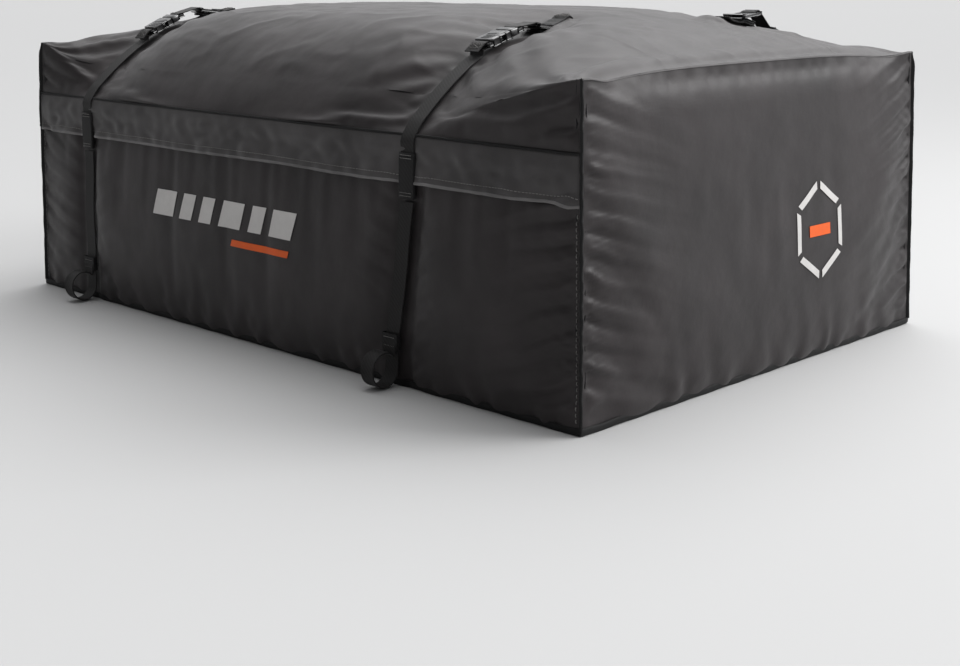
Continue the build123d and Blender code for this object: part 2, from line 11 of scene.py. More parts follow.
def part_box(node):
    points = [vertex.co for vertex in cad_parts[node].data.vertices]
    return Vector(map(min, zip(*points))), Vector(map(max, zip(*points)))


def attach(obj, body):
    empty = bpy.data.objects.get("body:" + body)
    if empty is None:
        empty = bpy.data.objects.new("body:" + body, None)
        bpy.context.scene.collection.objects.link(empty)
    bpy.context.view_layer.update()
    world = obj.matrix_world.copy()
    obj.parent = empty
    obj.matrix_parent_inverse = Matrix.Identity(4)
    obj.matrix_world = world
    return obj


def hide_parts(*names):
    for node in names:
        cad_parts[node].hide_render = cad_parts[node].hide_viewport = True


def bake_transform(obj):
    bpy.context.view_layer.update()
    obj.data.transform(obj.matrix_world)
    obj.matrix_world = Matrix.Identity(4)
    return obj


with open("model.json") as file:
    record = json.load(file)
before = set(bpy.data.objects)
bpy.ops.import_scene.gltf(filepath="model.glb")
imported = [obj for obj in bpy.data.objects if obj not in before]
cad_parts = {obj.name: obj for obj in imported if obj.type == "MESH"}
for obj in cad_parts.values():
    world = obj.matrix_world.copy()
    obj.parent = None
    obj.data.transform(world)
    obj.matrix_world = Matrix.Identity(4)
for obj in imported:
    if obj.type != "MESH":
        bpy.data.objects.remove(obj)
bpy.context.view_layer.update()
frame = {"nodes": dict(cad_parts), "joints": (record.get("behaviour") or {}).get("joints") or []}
STRAP_NAMES = ("right_front", "right_rear", "left_front", "left_rear")

# ---------------------------------------------------------------- camera, light, floor

LOOK_AT = Vector((0.067, 0.0, -0.042))
CAMERA_AZIMUTH = math.radians(44.17)
CAMERA_ELEVATION = math.radians(14.26)
CAMERA_DISTANCE = 2.400
CAMERA_LENS = 53.93


def make_camera():
    level = math.cos(CAMERA_ELEVATION)
    back = Vector((math.sin(CAMERA_AZIMUTH) * level, -math.cos(CAMERA_AZIMUTH) * level, 0))
    back.z = math.sin(CAMERA_ELEVATION)
    data = bpy.data.cameras.new("camera")
    data.lens = CAMERA_LENS
    data.sensor_width = 36.0
    camera = bpy.data.objects.new("camera", data)
    camera.location = LOOK_AT + back * CAMERA_DISTANCE
    camera.rotation_mode = "QUATERNION"
    camera.rotation_quaternion = (-back).to_track_quat("-Z", "Y")
    bpy.context.scene.collection.objects.link(camera)
    bpy.context.scene.camera = camera


def area_light(name, place, target, size, power, color=(1.0, 1.0, 1.0)):
    data = bpy.data.lights.new(name, "AREA")
    data.shape = "RECTANGLE"
    data.size, data.size_y = size
    data.energy = power
    data.color = color
    light = bpy.data.objects.new(name, data)
    light.location = place
    light.rotation_mode = "QUATERNION"
    light.rotation_quaternion = (Vector(target) - Vector(place)).to_track_quat("-Z", "Y")
    bpy.context.scene.collection.objects.link(light)


def make_world():
    """A pale studio sky, brighter on the bag's left side than on its right."""
    world = bpy.data.worlds.new("studio")
    world.use_nodes = True
    tree = world.node_tree
    direction = tree.nodes.new("ShaderNodeTexCoord")
    split = tree.nodes.new("ShaderNodeSeparateXYZ")
    level = tree.nodes.new("ShaderNodeMapRange")
    level.interpolation_type = "SMOOTHSTEP"
    level.inputs["From Min"].default_value = -0.9
    level.inputs["From Max"].default_value = 0.45
    level.inputs["To Min"].default_value = 0.14
    level.inputs["To Max"].default_value = 1.0
    tree.links.new(direction.outputs["Generated"], split.inputs["Vector"])
    tree.links.new(split.outputs["Y"], level.inputs["Value"])
    tree.links.new(level.outputs["Result"], tree.nodes["Background"].inputs["Strength"])
    tree.nodes["Background"].inputs["Color"].default_value = (0.95, 0.955, 0.97, 1.0)
    bpy.context.scene.world = world


def make_lights():
    make_world()
    sun = bpy.data.lights.new("sky_sun", "SUN")
    sun.energy = 3.0
    sun.angle = math.radians(70)
    lamp = bpy.data.objects.new("sky_sun", sun)
    lamp.rotation_mode = "QUATERNION"
    lamp.rotation_quaternion = Vector((0.05, -0.55, -1.0)).to_track_quat("-Z", "Y")
    bpy.context.scene.collection.objects.link(lamp)
    area_light("front_key", (2.5, 2.0, 2.3), (0.5, 0, 0.34), (1.8, 1.6), 75)
    bpy.context.scene.view_settings.view_transform = "Standard"


def make_floor():
    bpy.ops.mesh.primitive_plane_add(size=90)
    floor = bpy.context.object
    floor.name = "floor"
    material = bpy.data.materials.new("floor")
    material.use_nodes = True
    shader = material.node_tree.nodes["Principled BSDF"]
    shader.inputs["Base Color"].default_value = (0.43, 0.43, 0.43, 1)
    shader.inputs["Roughness"].default_value = 0.85
    floor.data.materials.append(material)


make_camera()
make_lights()
make_floor()

# ---------------------------------------------------------------- materials


def new_material(name):
    material = bpy.data.materials.new(name)
    material.use_nodes = True
    return material, material.node_tree, material.node_tree.nodes["Principled BSDF"]


def add(tree, kind, **values):
    node = tree.nodes.new(kind)
    for key, value in values.items():
        setattr(node, key, value)
    return node


def noise_texture(tree, coords, scale, detail=3.0, roughness=0.55):
    texture = add(tree, "ShaderNodeTexNoise")
    texture.inputs["Scale"].default_value = scale
    texture.inputs["Detail"].default_value = detail
    texture.inputs["Roughness"].default_value = roughness
    tree.links.new(coords, texture.inputs["Vector"])
    return texture.outputs["Fac"]


def ramp(tree, fac, color, low, high):
    """Runs from one shade of a colour to another; low and high are (position, factor)."""
    node = add(tree, "ShaderNodeValToRGB")
    for element, (position, factor) in zip(node.color_ramp.elements, (low, high)):
        element.position = position
        element.color = (*(channel * factor for channel in color), 1)
    tree.links.new(fac, node.inputs["Fac"])
    return node.outputs["Color"]


def stripes(tree, coords, direction, period):
    """Soft 0 to 1 waves along a direction, one per period in metres."""
    wave = add(tree, "ShaderNodeTexWave", wave_type="BANDS", bands_direction=direction, wave_profile="SIN")
    wave.inputs["Scale"].default_value = 2 * math.pi / (20 * period)
    tree.links.new(coords, wave.inputs["Vector"])
    return wave.outputs["Fac"]


def math_node(tree, operation, a, b):
    node = add(tree, "ShaderNodeMath", operation=operation)
    for slot, value in enumerate((a, b)):
        if isinstance(value, float):
            node.inputs[slot].default_value = value
        else:
            tree.links.new(value, node.inputs[slot])
    return node.outputs["Value"]


def bump(tree, shader, height, strength, distance, under=None):
    node = add(tree, "ShaderNodeBump")
    node.inputs["Strength"].default_value = strength
    node.inputs["Distance"].default_value = distance
    tree.links.new(height, node.inputs["Height"])
    if under is not None:
        tree.links.new(under, node.inputs["Normal"])
    tree.links.new(node.outputs["Normal"], shader.inputs["Normal"])
    return node.outputs["Normal"]


def uneven_roughness(tree, shader, fac, low, high):
    node = add(tree, "ShaderNodeMapRange")
    node.inputs["To Min"].default_value = low
    node.inputs["To Max"].default_value = high
    tree.links.new(fac, node.inputs["Value"])
    tree.links.new(node.outputs["Result"], shader.inputs["Roughness"])


def cloth_material(name, color, roughness, weave, sheen, crease=0.0012, contrast=0.3):
    """Woven cloth: two crossed thread waves, fine fuzz, soft creases and uneven colour."""
    material, tree, shader = new_material(name)
    coords = add(tree, "ShaderNodeTexCoord").outputs["Object"]
    uneven = noise_texture(tree, coords, 9.0, 5.0)
    tint = ramp(tree, uneven, color, (0.3, 1 - contrast), (0.72, 1 + contrast))
    tree.links.new(tint, shader.inputs["Base Color"])
    uneven_roughness(tree, shader, noise_texture(tree, coords, 30.0, 3.0), roughness - 0.07, roughness + 0.09)
    shader.inputs["Sheen Weight"].default_value = sheen
    shader.inputs["Sheen Roughness"].default_value = 0.45
    shader.inputs["Specular IOR Level"].default_value = 0.26
    warp = stripes(tree, coords, "X", weave)
    weft = stripes(tree, coords, "DIAGONAL", weave)
    threads = math_node(tree, "MAXIMUM", warp, weft)
    fuzz = noise_texture(tree, coords, 900.0, 2.0)
    cloth = math_node(tree, "ADD", threads, fuzz)
    creases = noise_texture(tree, coords, 26.0, 6.0, 0.6)
    soft = bump(tree, shader, creases, 0.55, crease)
    bump(tree, shader, cloth, 0.15, 0.00022, soft)
    return material


def plastic_material(name, color, roughness, specular=0.5, worn=(0.8, 1.5)):
    """Moulded plastic: fine grain, rubbed patches."""
    material, tree, shader = new_material(name)
    coords = add(tree, "ShaderNodeTexCoord").outputs["Object"]
    rubbed = noise_texture(tree, coords, 60.0, 4.0)
    tint = ramp(tree, rubbed, color, (0.35, worn[0]), (0.75, worn[1]))
    tree.links.new(tint, shader.inputs["Base Color"])
    uneven_roughness(tree, shader, rubbed, roughness - 0.08, roughness + 0.12)
    shader.inputs["Specular IOR Level"].default_value = specular
    bump(tree, shader, noise_texture(tree, coords, 1400.0, 2.0), 0.25, 0.00015)
    return material


def webbing_material(name, color, roughness):
    """Herringbone-ribbed strap webbing."""
    material, tree, shader = new_material(name)
    coords = add(tree, "ShaderNodeTexCoord").outputs["Object"]
    ribs = stripes(tree, coords, "X", 0.0021)
    cross = stripes(tree, coords, "DIAGONAL", 0.0034)
    pattern = math_node(tree, "MULTIPLY", ribs, cross)
    tint = ramp(tree, pattern, color, (0.0, 0.7), (0.8, 1.2))
    tree.links.new(tint, shader.inputs["Base Color"])
    shader.inputs["Roughness"].default_value = roughness
    shader.inputs["Sheen Weight"].default_value = 0.06
    shader.inputs["Specular IOR Level"].default_value = 0.2
    bump(tree, shader, pattern, 0.5, 0.0003)
    return material


MATERIALS = {
    "shell": cloth_material("shell_cloth", (0.0242, 0.0202, 0.0209), 0.47, 0.0009, 0.10),
    "flap": cloth_material("flap_cloth", (0.0530, 0.0495, 0.0500), 0.45, 0.0009, 0.12),
    "liner": cloth_material("liner_cloth", (0.075, 0.077, 0.08), 0.6, 0.0012, 0.05),
    "binding": cloth_material("binding_tape", (0.0045, 0.0045, 0.0047), 0.62, 0.0012, 0.03),
    # hem roll: its pale colour is a painted highlight along the flap's folded hem edge
    "hem": cloth_material("hem_edge_painted_highlight", (0.14, 0.135, 0.135), 0.5, 0.0012, 0.1),
    "thread": cloth_material("thread", (0.16, 0.155, 0.15), 0.7, 0.0008, 0.2),
    "hook": cloth_material("hook_tape", (0.012, 0.012, 0.013), 0.8, 0.0016, 0.3),
    "webbing": webbing_material("webbing", (0.0125, 0.0115, 0.0115), 0.6),
    "keeper": webbing_material("keeper_webbing", (0.010, 0.0095, 0.010), 0.6),
    "plastic": plastic_material("buckle_plastic", (0.019, 0.019, 0.020), 0.20, 0.9),
    "coil": plastic_material("zip_coil", (0.02, 0.02, 0.02), 0.4),
    "slider": plastic_material("slider_enamel", (0.03, 0.03, 0.032), 0.25, 0.8),
    "pale_print": plastic_material("pale_print", (0.62, 0.605, 0.59), 0.5, 0.3, (0.96, 1.04)),
    "orange_print": plastic_material("orange_print", (0.80, 0.12, 0.015), 0.5, 0.3, (0.95, 1.05)),
}

# ---------------------------------------------------------------- mesh helpers


SHARP_ANGLE = math.radians(42)


def make_object(name, vertices, faces, material, smooth=True, sharp=True):
    mesh = bpy.data.meshes.new(name)
    mesh.from_pydata([tuple(map(float, v)) for v in vertices], [], [tuple(map(int, f)) for f in faces])
    mesh.validate()
    mesh.materials.append(MATERIALS[material])
    piece = bpy.data.objects.new(name, mesh)
    bpy.context.scene.collection.objects.link(piece)
    if smooth:
        mesh.shade_smooth()
        if sharp:
            mesh.set_sharp_from_angle(angle=SHARP_ANGLE)
    return piece


def finish_piece(piece, body, slot, *nodes):
    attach(piece, body)
    if nodes:
        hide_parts(*nodes)
    return piece


class Pile:
    """Gathers vertices and faces of many small forms into one mesh."""

    def __init__(self):
        self.vertices = []
        self.faces = []

    def take(self, vertices, faces):
        start = len(self.vertices)
        self.vertices.extend([tuple(map(float, v)) for v in vertices])
        self.faces.extend([tuple(int(i) + start for i in face) for face in faces])

    def grid(self, points, flip=False):
        rows, columns = points.shape[:2]
        self.take(points.reshape(-1, 3), grid_faces(rows, columns, flip))

    def close(self, outer, inner):
        """Joins the four edges of two facing grids."""
        for edge in (np.s_[0], np.s_[-1], np.s_[:, 0], np.s_[:, -1]):
            self.grid(np.stack([inner[edge], outer[edge]]))

    def piece(self, name, material, smooth=True, weld=0.0, sharp=True):
        piece = make_object(name, self.vertices, self.faces, material, smooth, sharp)
        if weld:
            clean = bmesh.new()
            clean.from_mesh(piece.data)
            bmesh.ops.remove_doubles(clean, verts=clean.verts, dist=weld)
            bmesh.ops.recalc_face_normals(clean, faces=clean.faces)
            clean.to_mesh(piece.data)
            clean.free()
        return piece


def grid_faces(rows, columns, flip=False):
    faces = []
    for r in range(rows - 1):
        for c in range(columns - 1):
            a = r * columns + c
            quad = (a, a + 1, a + columns + 1, a + columns)
            faces.append(quad[::-1] if flip else quad)
    return faces


def smoothstep(low, high, value):
    t = np.clip((np.asarray(value, float) - low) / (high - low), 0, 1)
    return t * t * (3 - 2 * t)


def refine(grid, times, axis):
    """Cubic interpolation of a grid of points, times finer along one axis."""
    grid = np.moveaxis(grid, axis, 0)
    count = grid.shape[0]
    t = np.linspace(0, count - 1, (count - 1) * times + 1)
    low = np.minimum(t.astype(int), count - 2)
    f = (t - low).reshape(-1, *([1] * (grid.ndim - 1)))
    before = grid[np.maximum(low - 1, 0)]
    first = grid[low]
    second = grid[low + 1]
    after = grid[np.minimum(low + 2, count - 1)]
    slope_a = (second - before) / 2
    slope_b = (after - first) / 2
    result = (
        first * (1 - 3 * f**2 + 2 * f**3)
        + second * (3 * f**2 - 2 * f**3)
        + slope_a * (f - 2 * f**2 + f**3)
        + slope_b * (f**3 - f**2)
    )
    return np.moveaxis(result, 0, axis)


def grid_normals(grid):
    across = np.gradient(grid, axis=1)
    up = np.gradient(grid, axis=0)
    normal = np.cross(across, up)
    length = np.linalg.norm(normal, axis=2, keepdims=True)
    return normal / np.maximum(length, 1e-9)


def smooth_path(points, steps):
    """Points of a smooth curve through given points."""
    grid = np.array(points, float).reshape(-1, 1, 3)
    return refine(grid, steps, 0).reshape(-1, 3)


def sweep(path, outward, profile, closed=False, side=None):
    """Carries a closed profile of (across, out) points along a path, with an outward direction for each."""
    path = np.array(path, float)
    outward = np.broadcast_to(np.array(outward, float), path.shape)
    along = np.gradient(path, axis=0)
    if closed:
        along = np.roll(path, -1, 0) - np.roll(path, 1, 0)
    along /= np.maximum(np.linalg.norm(along, axis=1, keepdims=True), 1e-9)
    if side is None:
        across = np.cross(along, outward)
    else:
        across = np.broadcast_to(np.array(side, float), path.shape)
    across = across / np.maximum(np.linalg.norm(across, axis=1, keepdims=True), 1e-9)
    out = np.cross(across, along)
    out = out * np.sign(np.sum(out * outward, axis=1, keepdims=True) + 1e-12)
    ring = len(profile)
    vertices = []
    for p, a, o in zip(path, across, out):
        vertices.extend([p + a * u + o * v for u, v in profile])
    faces = []
    stations = len(path)
    for s in range(stations if closed else stations - 1):
        here, there = s * ring, ((s + 1) % stations) * ring
        for k in range(ring):
            n = (k + 1) % ring
            faces.append((here + k, here + n, there + n, there + k))
    if not closed:
        faces.append(tuple(range(ring))[::-1])
        faces.append(tuple((stations - 1) * ring + k for k in range(ring)))
    return vertices, faces


def web_profile(width, thickness):
    """A flat band with rounded edges and slightly raised selvedges."""
    w, t = width / 2, thickness / 2
    above = [(-w, 0.0), (-w + 0.4 * t, t), (-0.86 * w, 1.12 * t), (-0.78 * w, 0.9 * t), (0, 0.95 * t)]
    above += [(0.78 * w, 0.9 * t), (0.86 * w, 1.12 * t), (w - 0.4 * t, t), (w, 0.0)]
    return above + [(w - 0.4 * t, -t), (0, -0.95 * t), (-w + 0.4 * t, -t)]


def mirrored(half):
    """A profile from its left half."""
    return half + [(-across, out) for across, out in reversed(half)]


def round_profile(radius, flat=1.0, count=8):
    turn = [2 * math.pi * k / count for k in range(count)]
    return [(radius * math.cos(a), radius * flat * math.sin(a)) for a in turn]


def stitch_row(pile, path, outward, pitch=0.0055, length=0.0036, radius=0.00045):
    """Short thread bumps along a path."""
    path = np.array(path, float)
    outward = np.broadcast_to(np.array(outward, float), path.shape)
    steps = np.linalg.norm(np.diff(path, axis=0), axis=1)
    travelled = np.concatenate([[0], np.cumsum(steps)])
    for start in np.arange(pitch / 2, travelled[-1] - length, pitch):
        ends = []
        for distance in (start, start + length / 2, start + length):
            point = [np.interp(distance, travelled, path[:, k]) for k in range(3)]
            out = np.array([np.interp(distance, travelled, outward[:, k]) for k in range(3)])
            ends.append((np.array(point), out))
        middle = ends[1][0] + ends[1][1] * radius
        line = [ends[0][0] - ends[0][1] * radius, middle, ends[2][0] - ends[2][1] * radius]
        pile.take(*sweep(line, [e[1] for e in ends], round_profile(radius * 1.3, 1.0, 5)))


# ---------------------------------------------------------------- shape of the shell

BASE_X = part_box("front_panel")[1].x
BASE_Y = -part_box("right_side_panel")[0].y
RIM = 0.425
LEAN_X = 0.017
LEAN_Y = 0.011
RIM_X = BASE_X - LEAN_X
RIM_Y = BASE_Y - LEAN_Y
TUB_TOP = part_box("right_side_panel")[1].z
BAND_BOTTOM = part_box("lid_right_band")[0].z
LID_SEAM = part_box("lid_right_band")[1].z
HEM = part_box("storm_flap_right")[0].z
CROWN_RISE = 0.074
EDGE = 1e-6
WEB = 0.0016
WEB_WIDTH = 0.025
CELLS_X = 88
CELLS_Y = 56
LOWER_ROWS = 22
EAR_ROWS = 7
FINER = 3


def strap_facts():
    """Where each strap lies, read from its CAD pieces."""
    facts = {}
    for name in STRAP_NAMES:
        keeper_low, keeper_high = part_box("shoulder_strap_" + name)
        foot_low, foot_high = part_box("rail_strap_" + name)
        side = -1 if name.startswith("right") else 1
        x = (keeper_low.x + keeper_high.x) / 2
        trail = (foot_high.x - foot_low.x) - 0.031 + 0.003
        facts[name] = {"x": x, "side": side, "trail": max(trail, 0.003), "top": foot_high.z}
    return facts


STRAPS = strap_facts()


def strap_x(fact, z):
    """A strap trails rearwards as it nears the rail."""
    share = np.clip((fact["top"] - np.asarray(z, float)) / (fact["top"] - 0.05), 0, 1)
    return fact["x"] - fact["trail"] * share


def wall_x(z):
    return BASE_X - LEAN_X * np.asarray(z, float) / RIM


def wall_y(z):
    return BASE_Y - LEAN_Y * np.asarray(z, float) / RIM


def rise(x, y):
    along = 1 - np.abs(x / RIM_X) ** 5
    across = 1 - np.abs(y / RIM_Y) ** 3.4
    return CROWN_RISE * along * across


STRAP_DOME_HALF = 0.391
STRAP_DOME_TOP = 0.487
STRAP_DOME_POWER = 2.6
VALLEY_TOP = {"right_front": 0.456, "right_rear": 0.471, "left_front": 0.475, "left_rear": 0.469}


def strap_dome(y):
    return LID_SEAM + (STRAP_DOME_TOP - LID_SEAM) * (1 - (np.abs(y) / STRAP_DOME_HALF) ** STRAP_DOME_POWER)


def valley_profile(name):
    """The line a tight strap presses into the lid: (distance along, y, z) from the lid seam to the middle."""
    y = np.concatenate([np.linspace(STRAP_DOME_HALF, 0.38, 8), np.linspace(0.375, 0.0, 60)])
    top = VALLEY_TOP[name]
    z = strap_dome(y)
    soft = 0.008
    z = top - soft * np.log1p(np.exp((top - z) / soft))
    z = z - z[0] + LID_SEAM
    distance = np.concatenate([[0], np.cumsum(np.hypot(np.diff(y), np.diff(z)))])
    return distance, y, z


VALLEYS = {name: valley_profile(name) for name in STRAP_NAMES}
SHOULDER = 0.19
SHOULDER_HEIGHT = RIM - LID_SEAM


def ear_share(x):
    """How far the upright corner ear has grown: 0 between the straps, 1 at the corners."""
    front = np.clip((x - 0.335) / (0.602 - 0.335), 0, 1)
    rear = np.clip((-x - 0.455) / (0.602 - 0.455), 0, 1)
    return front**0.62 + rear**0.55


def soften_sides(x, y, z, on_top):
    """Rounds the long shoulders, leaves tall ears at the corners, and presses the strap valleys in."""
    side = np.where(y < 0, -1.0, 1.0)
    reach = np.abs(y)
    along = np.where(on_top, SHOULDER_HEIGHT + RIM_Y - reach, z - LID_SEAM)
    box_z = np.where(on_top, RIM + rise(x, y), z)
    ear = ear_share(x)
    upright = ear * SHOULDER_HEIGHT
    crease_z = LID_SEAM + upright
    turn = np.clip((along - upright) / (SHOULDER_HEIGHT + SHOULDER - upright), 0, 1) * math.pi / 2
    power = 1.22 + 0.4 * ear
    inner_y = RIM_Y - SHOULDER
    inner_z = RIM + rise(x, inner_y * side)
    crease_y = wall_y(crease_z)
    soft_y = inner_y + (crease_y - inner_y) * np.clip(np.cos(turn), 0, 1) ** power
    soft_z = crease_z + (inner_z - crease_z) * np.clip(np.sin(turn), 0, 1) ** power
    on_shoulder = (along > upright) & (along < SHOULDER_HEIGHT + SHOULDER)
    new_y = np.where(on_shoulder, soft_y, reach)
    new_z = np.where(on_shoulder, soft_z, box_z)
    for name, fact in STRAPS.items():
        distance, line_y, line_z = VALLEYS[name]
        share = np.clip(along, 0, None) * distance[-1] / (SHOULDER_HEIGHT + RIM_Y)
        press_y = np.interp(share, distance, line_y)
        press_z = np.interp(share, distance, line_z)
        gap = np.abs(x - fact["x"])
        near = 0.60 * np.exp(-((gap / 0.085) ** 2)) + 0.40 * np.exp(-((gap / 0.032) ** 2))
        fade = smoothstep(0.03, 0.20, reach) * np.where(side == fact["side"], 1.0, 0.0)
        weight = np.where(along > 0, near * fade, 0.0)
        new_y = new_y + (press_y - new_y) * weight
        new_z = new_z + (press_z - new_z) * weight
    return x, new_y * side, new_z


# end's sign, height the rounding starts at, its reach over the top, and where it starts to fade out sideways
END_ROUNDS = ((-1, 0.385, 0.055, 0.25), (1, 0.372, 0.050, 0.31))


def soften_ends(x, y, z, start, on_top):
    """Rounds the rear shoulder and the front fold between the corners."""
    for sign, low, reach, fade_from in END_ROUNDS:
        middle = 1 - smoothstep(fade_from, 0.38, np.abs(start[1]))
        height = RIM - low
        here = np.sign(start[0]) == sign
        wall_along = np.where(np.abs(start[0]) > RIM_X - EDGE, start[2] - low, -1)
        along = np.where(on_top, height + RIM_X - np.abs(start[0]), wall_along)
        turn = np.clip(along / (height + reach), 0, 1) * math.pi / 2
        inner_x = RIM_X - reach
        inner_z = RIM + rise(inner_x * sign, y)
        soft_x = inner_x + (wall_x(low) - inner_x) * np.cos(turn)
        soft_z = low + (inner_z - low) * np.sin(turn)
        apply = np.where(here & (along > 0) & (along < height + reach), middle, 0.0)
        x = x + (soft_x * sign - x) * apply
        z = z + (soft_z - z) * apply
    return x, y, z


SIDE_BULGE = 0.0125
END_BULGE = 0.0115
CORNER_HOLD = 0.075  # how far a corner seam holds the bulge back
STRAP_HOLD = 0.034


def bulge_walls(x, y, z, start, on_top):
    """The load pushes each wall out between the straps, the corners and the zip line."""
    nominal_x, nominal_y, height = start
    lower = np.sin(math.pi * np.clip(height / TUB_TOP, 0, 1)) ** 0.75
    corner = 1 - np.exp(-(((RIM_X - np.abs(nominal_x)) / CORNER_HOLD) ** 2))
    held = np.ones_like(x)
    for fact in STRAPS.values():
        gap = np.abs(nominal_x - strap_x(fact, height))
        here = np.where(np.sign(nominal_y) == fact["side"], 1.0, 0.0)
        held = held * (1 - here * np.exp(-((gap / STRAP_HOLD) ** 2)))
    is_side = (~on_top) & (np.abs(nominal_y) > RIM_Y - EDGE)
    y = y + np.where(is_side, np.sign(nominal_y) * SIDE_BULGE * lower * corner * held, 0)
    is_end = (~on_top) & (np.abs(nominal_x) > RIM_X - EDGE)
    end_corner = 1 - np.exp(-(((RIM_Y - np.abs(nominal_y)) / CORNER_HOLD) ** 2))
    full = np.sin(math.pi * np.clip(height / 0.40, 0, 1)) ** 0.8
    end_height = np.where(nominal_x > 0, full, lower)
    x = x + np.where(is_end, np.sign(nominal_x) * END_BULGE * end_height * end_corner, 0)
    return x, y, z


def shape(nominal, on_top):
    """Moves points of the plain box onto the filled, strapped bag. nominal is rows of (x, y, z)."""
    start = (nominal[..., 0], nominal[..., 1], nominal[..., 2])
    is_end = (~on_top) & (np.abs(start[0]) > RIM_X - EDGE)
    is_side = (~on_top) & (np.abs(start[1]) > RIM_Y - EDGE)
    x = np.where(on_top, start[0], start[0] * wall_x(start[2]) / RIM_X)
    y = np.where(on_top, start[1], start[1] * wall_y(start[2]) / RIM_Y)
    z = start[2]
    _, sy, sz = soften_sides(start[0], y, z, on_top)
    use = on_top | is_side | (is_end & is_side)
    y = np.where(use, sy, y)
    z = np.where(use, sz, z)
    x, y, z = soften_ends(x, y, z, start, on_top)
    x, y, z = bulge_walls(x, y, z, start, on_top)
    return np.stack([x, y, z], -1)


def wall_rows():
    lower = np.linspace(0, TUB_TOP, LOWER_ROWS + 1)
    band = [(TUB_TOP + BAND_BOTTOM) / 2, BAND_BOTTOM, (BAND_BOTTOM + LID_SEAM) / 2, LID_SEAM]
    upper = np.linspace(LID_SEAM, RIM, EAR_ROWS)[1:]
    return np.concatenate([lower, band, upper])


ROWS = wall_rows()
XS = np.linspace(-RIM_X, RIM_X, CELLS_X + 1)
YS = np.linspace(-RIM_Y, RIM_Y, CELLS_Y + 1)


def nominal_patches():
    """The plain box as five grids. Wall rows go up; their columns run anticlockwise seen from above."""
    patches = {}
    for name, xs, ys in (
        ("right", XS, np.full_like(XS, -RIM_Y)),
        ("front", np.full_like(YS, RIM_X), YS),
        ("left", XS[::-1], np.full_like(XS, RIM_Y)),
        ("rear", np.full_like(YS, -RIM_X), YS[::-1]),
    ):
        grid = np.zeros((len(ROWS), len(xs), 3))
        grid[:, :, 0] = xs
        grid[:, :, 1] = ys
        grid[:, :, 2] = ROWS[:, None]
        patches[name] = grid
    top = np.zeros((len(YS), len(XS), 3))
    top[:, :, 0] = XS
    top[:, :, 1] = YS[:, None]
    top[:, :, 2] = RIM
    patches["top"] = top
    return patches


def pin_weight(point, on_top):
    """How firmly a point is held while the cloth settles: seams, zip line, base, and under the straps."""
    x, y, z = point
    on_front = x > RIM_X - EDGE
    if z < EDGE or (TUB_TOP - EDGE < z < LID_SEAM + EDGE and not on_front):
        return 1.0
    if abs(x) > RIM_X - EDGE and abs(y) > RIM_Y - EDGE:
        return 1.0
    if on_front and z > RIM - EDGE:
        return 0.9
    for fact in STRAPS.values():
        if (y > 0) != (fact["side"] > 0):
            continue
        if on_top and abs(y) < 0.09:
            continue
        strap = float(strap_x(fact, 1.0 if on_top else z))
        if (on_top or abs(y) > RIM_Y - EDGE) and abs(x - strap) < WEB_WIDTH / 2:
            return 1.0
    return 0.0


def settle(patches, nominal):
    """Lets the joined skin wrinkle as slightly oversize cloth, held along its seams and under the straps."""
    index = {}
    places = []
    pins = []
    maps = {}
    for name, grid in nominal.items():
        flat = grid.reshape(-1, 3)
        shaped = patches[name].reshape(-1, 3)
        numbers = []
        for key_point, place in zip(flat, shaped):
            key = tuple(np.round(key_point, 5))
            if key not in index:
                index[key] = len(places)
                places.append(tuple(place))
                pins.append(pin_weight(key_point, name == "top"))
            numbers.append(index[key])
        maps[name] = np.array(numbers).reshape(grid.shape[:2])
    faces = []
    for name, numbers in maps.items():
        rows, columns = numbers.shape
        for r in range(rows - 1):
            for c in range(columns - 1):
                faces.append((numbers[r, c], numbers[r, c + 1], numbers[r + 1, c + 1], numbers[r + 1, c]))
    piece = make_object("settling", places, faces, "shell")
    group = piece.vertex_groups.new(name="held")
    for number, weight in enumerate(pins):
        if weight > 0:
            group.add([number], weight, "REPLACE")
    cloth = piece.modifiers.new("cloth", "CLOTH")
    settings = cloth.settings
    settings.quality = 5
    settings.mass = 0.25
    settings.air_damping = 2.0
    settings.tension_stiffness = 18
    settings.compression_stiffness = 12
    settings.shear_stiffness = 4
    settings.bending_stiffness = 0.35
    settings.vertex_group_mass = "held"
    settings.shrink_min = -0.006
    settings.use_pressure = True
    settings.uniform_pressure_force = 0.9
    settings.effector_weights.gravity = 0.5
    cloth.collision_settings.use_collision = False
    cloth.collision_settings.use_self_collision = False
    scene = bpy.context.scene
    for number in range(1, SETTLE_FRAMES + 1):
        scene.frame_set(number)
    shown = piece.evaluated_get(bpy.context.evaluated_depsgraph_get())
    before = np.array(places)
    move = np.array([v.co[:] for v in shown.data.vertices]) - before
    length = np.linalg.norm(move, axis=1, keepdims=True)
    move = move * np.minimum(1.0, SETTLE_CAP / np.maximum(length, 1e-9))
    corner = np.hypot(np.abs(before[:, 0]) - RIM_X, np.abs(before[:, 1]) - RIM_Y)
    high = smoothstep(0.33, 0.40, before[:, 2])
    move = move * (1 - 0.85 * high * np.exp(-((corner / 0.14) ** 2)))[:, None]
    on_wall = 1 - smoothstep(TUB_TOP, RIM, before[:, 2])
    on_front = np.where(before[:, 0] > RIM_X - 0.004, 1.0, 0.0)
    move = move * (1 - 0.55 * np.maximum(on_wall, on_front))[:, None]
    settled = before + move
    bpy.data.objects.remove(piece)
    scene.frame_set(1)
    return {name: settled[numbers] for name, numbers in maps.items()}


SETTLE_FRAMES = 22
SETTLE_CAP = 0.009
NOMINAL = nominal_patches()
COARSE = {name: shape(grid, np.full(grid.shape[:2], name == "top")) for name, grid in NOMINAL.items()}
COARSE = settle(COARSE, NOMINAL)


LINER_GAP = 0.009
SKIN_FLOOR = 0.0004


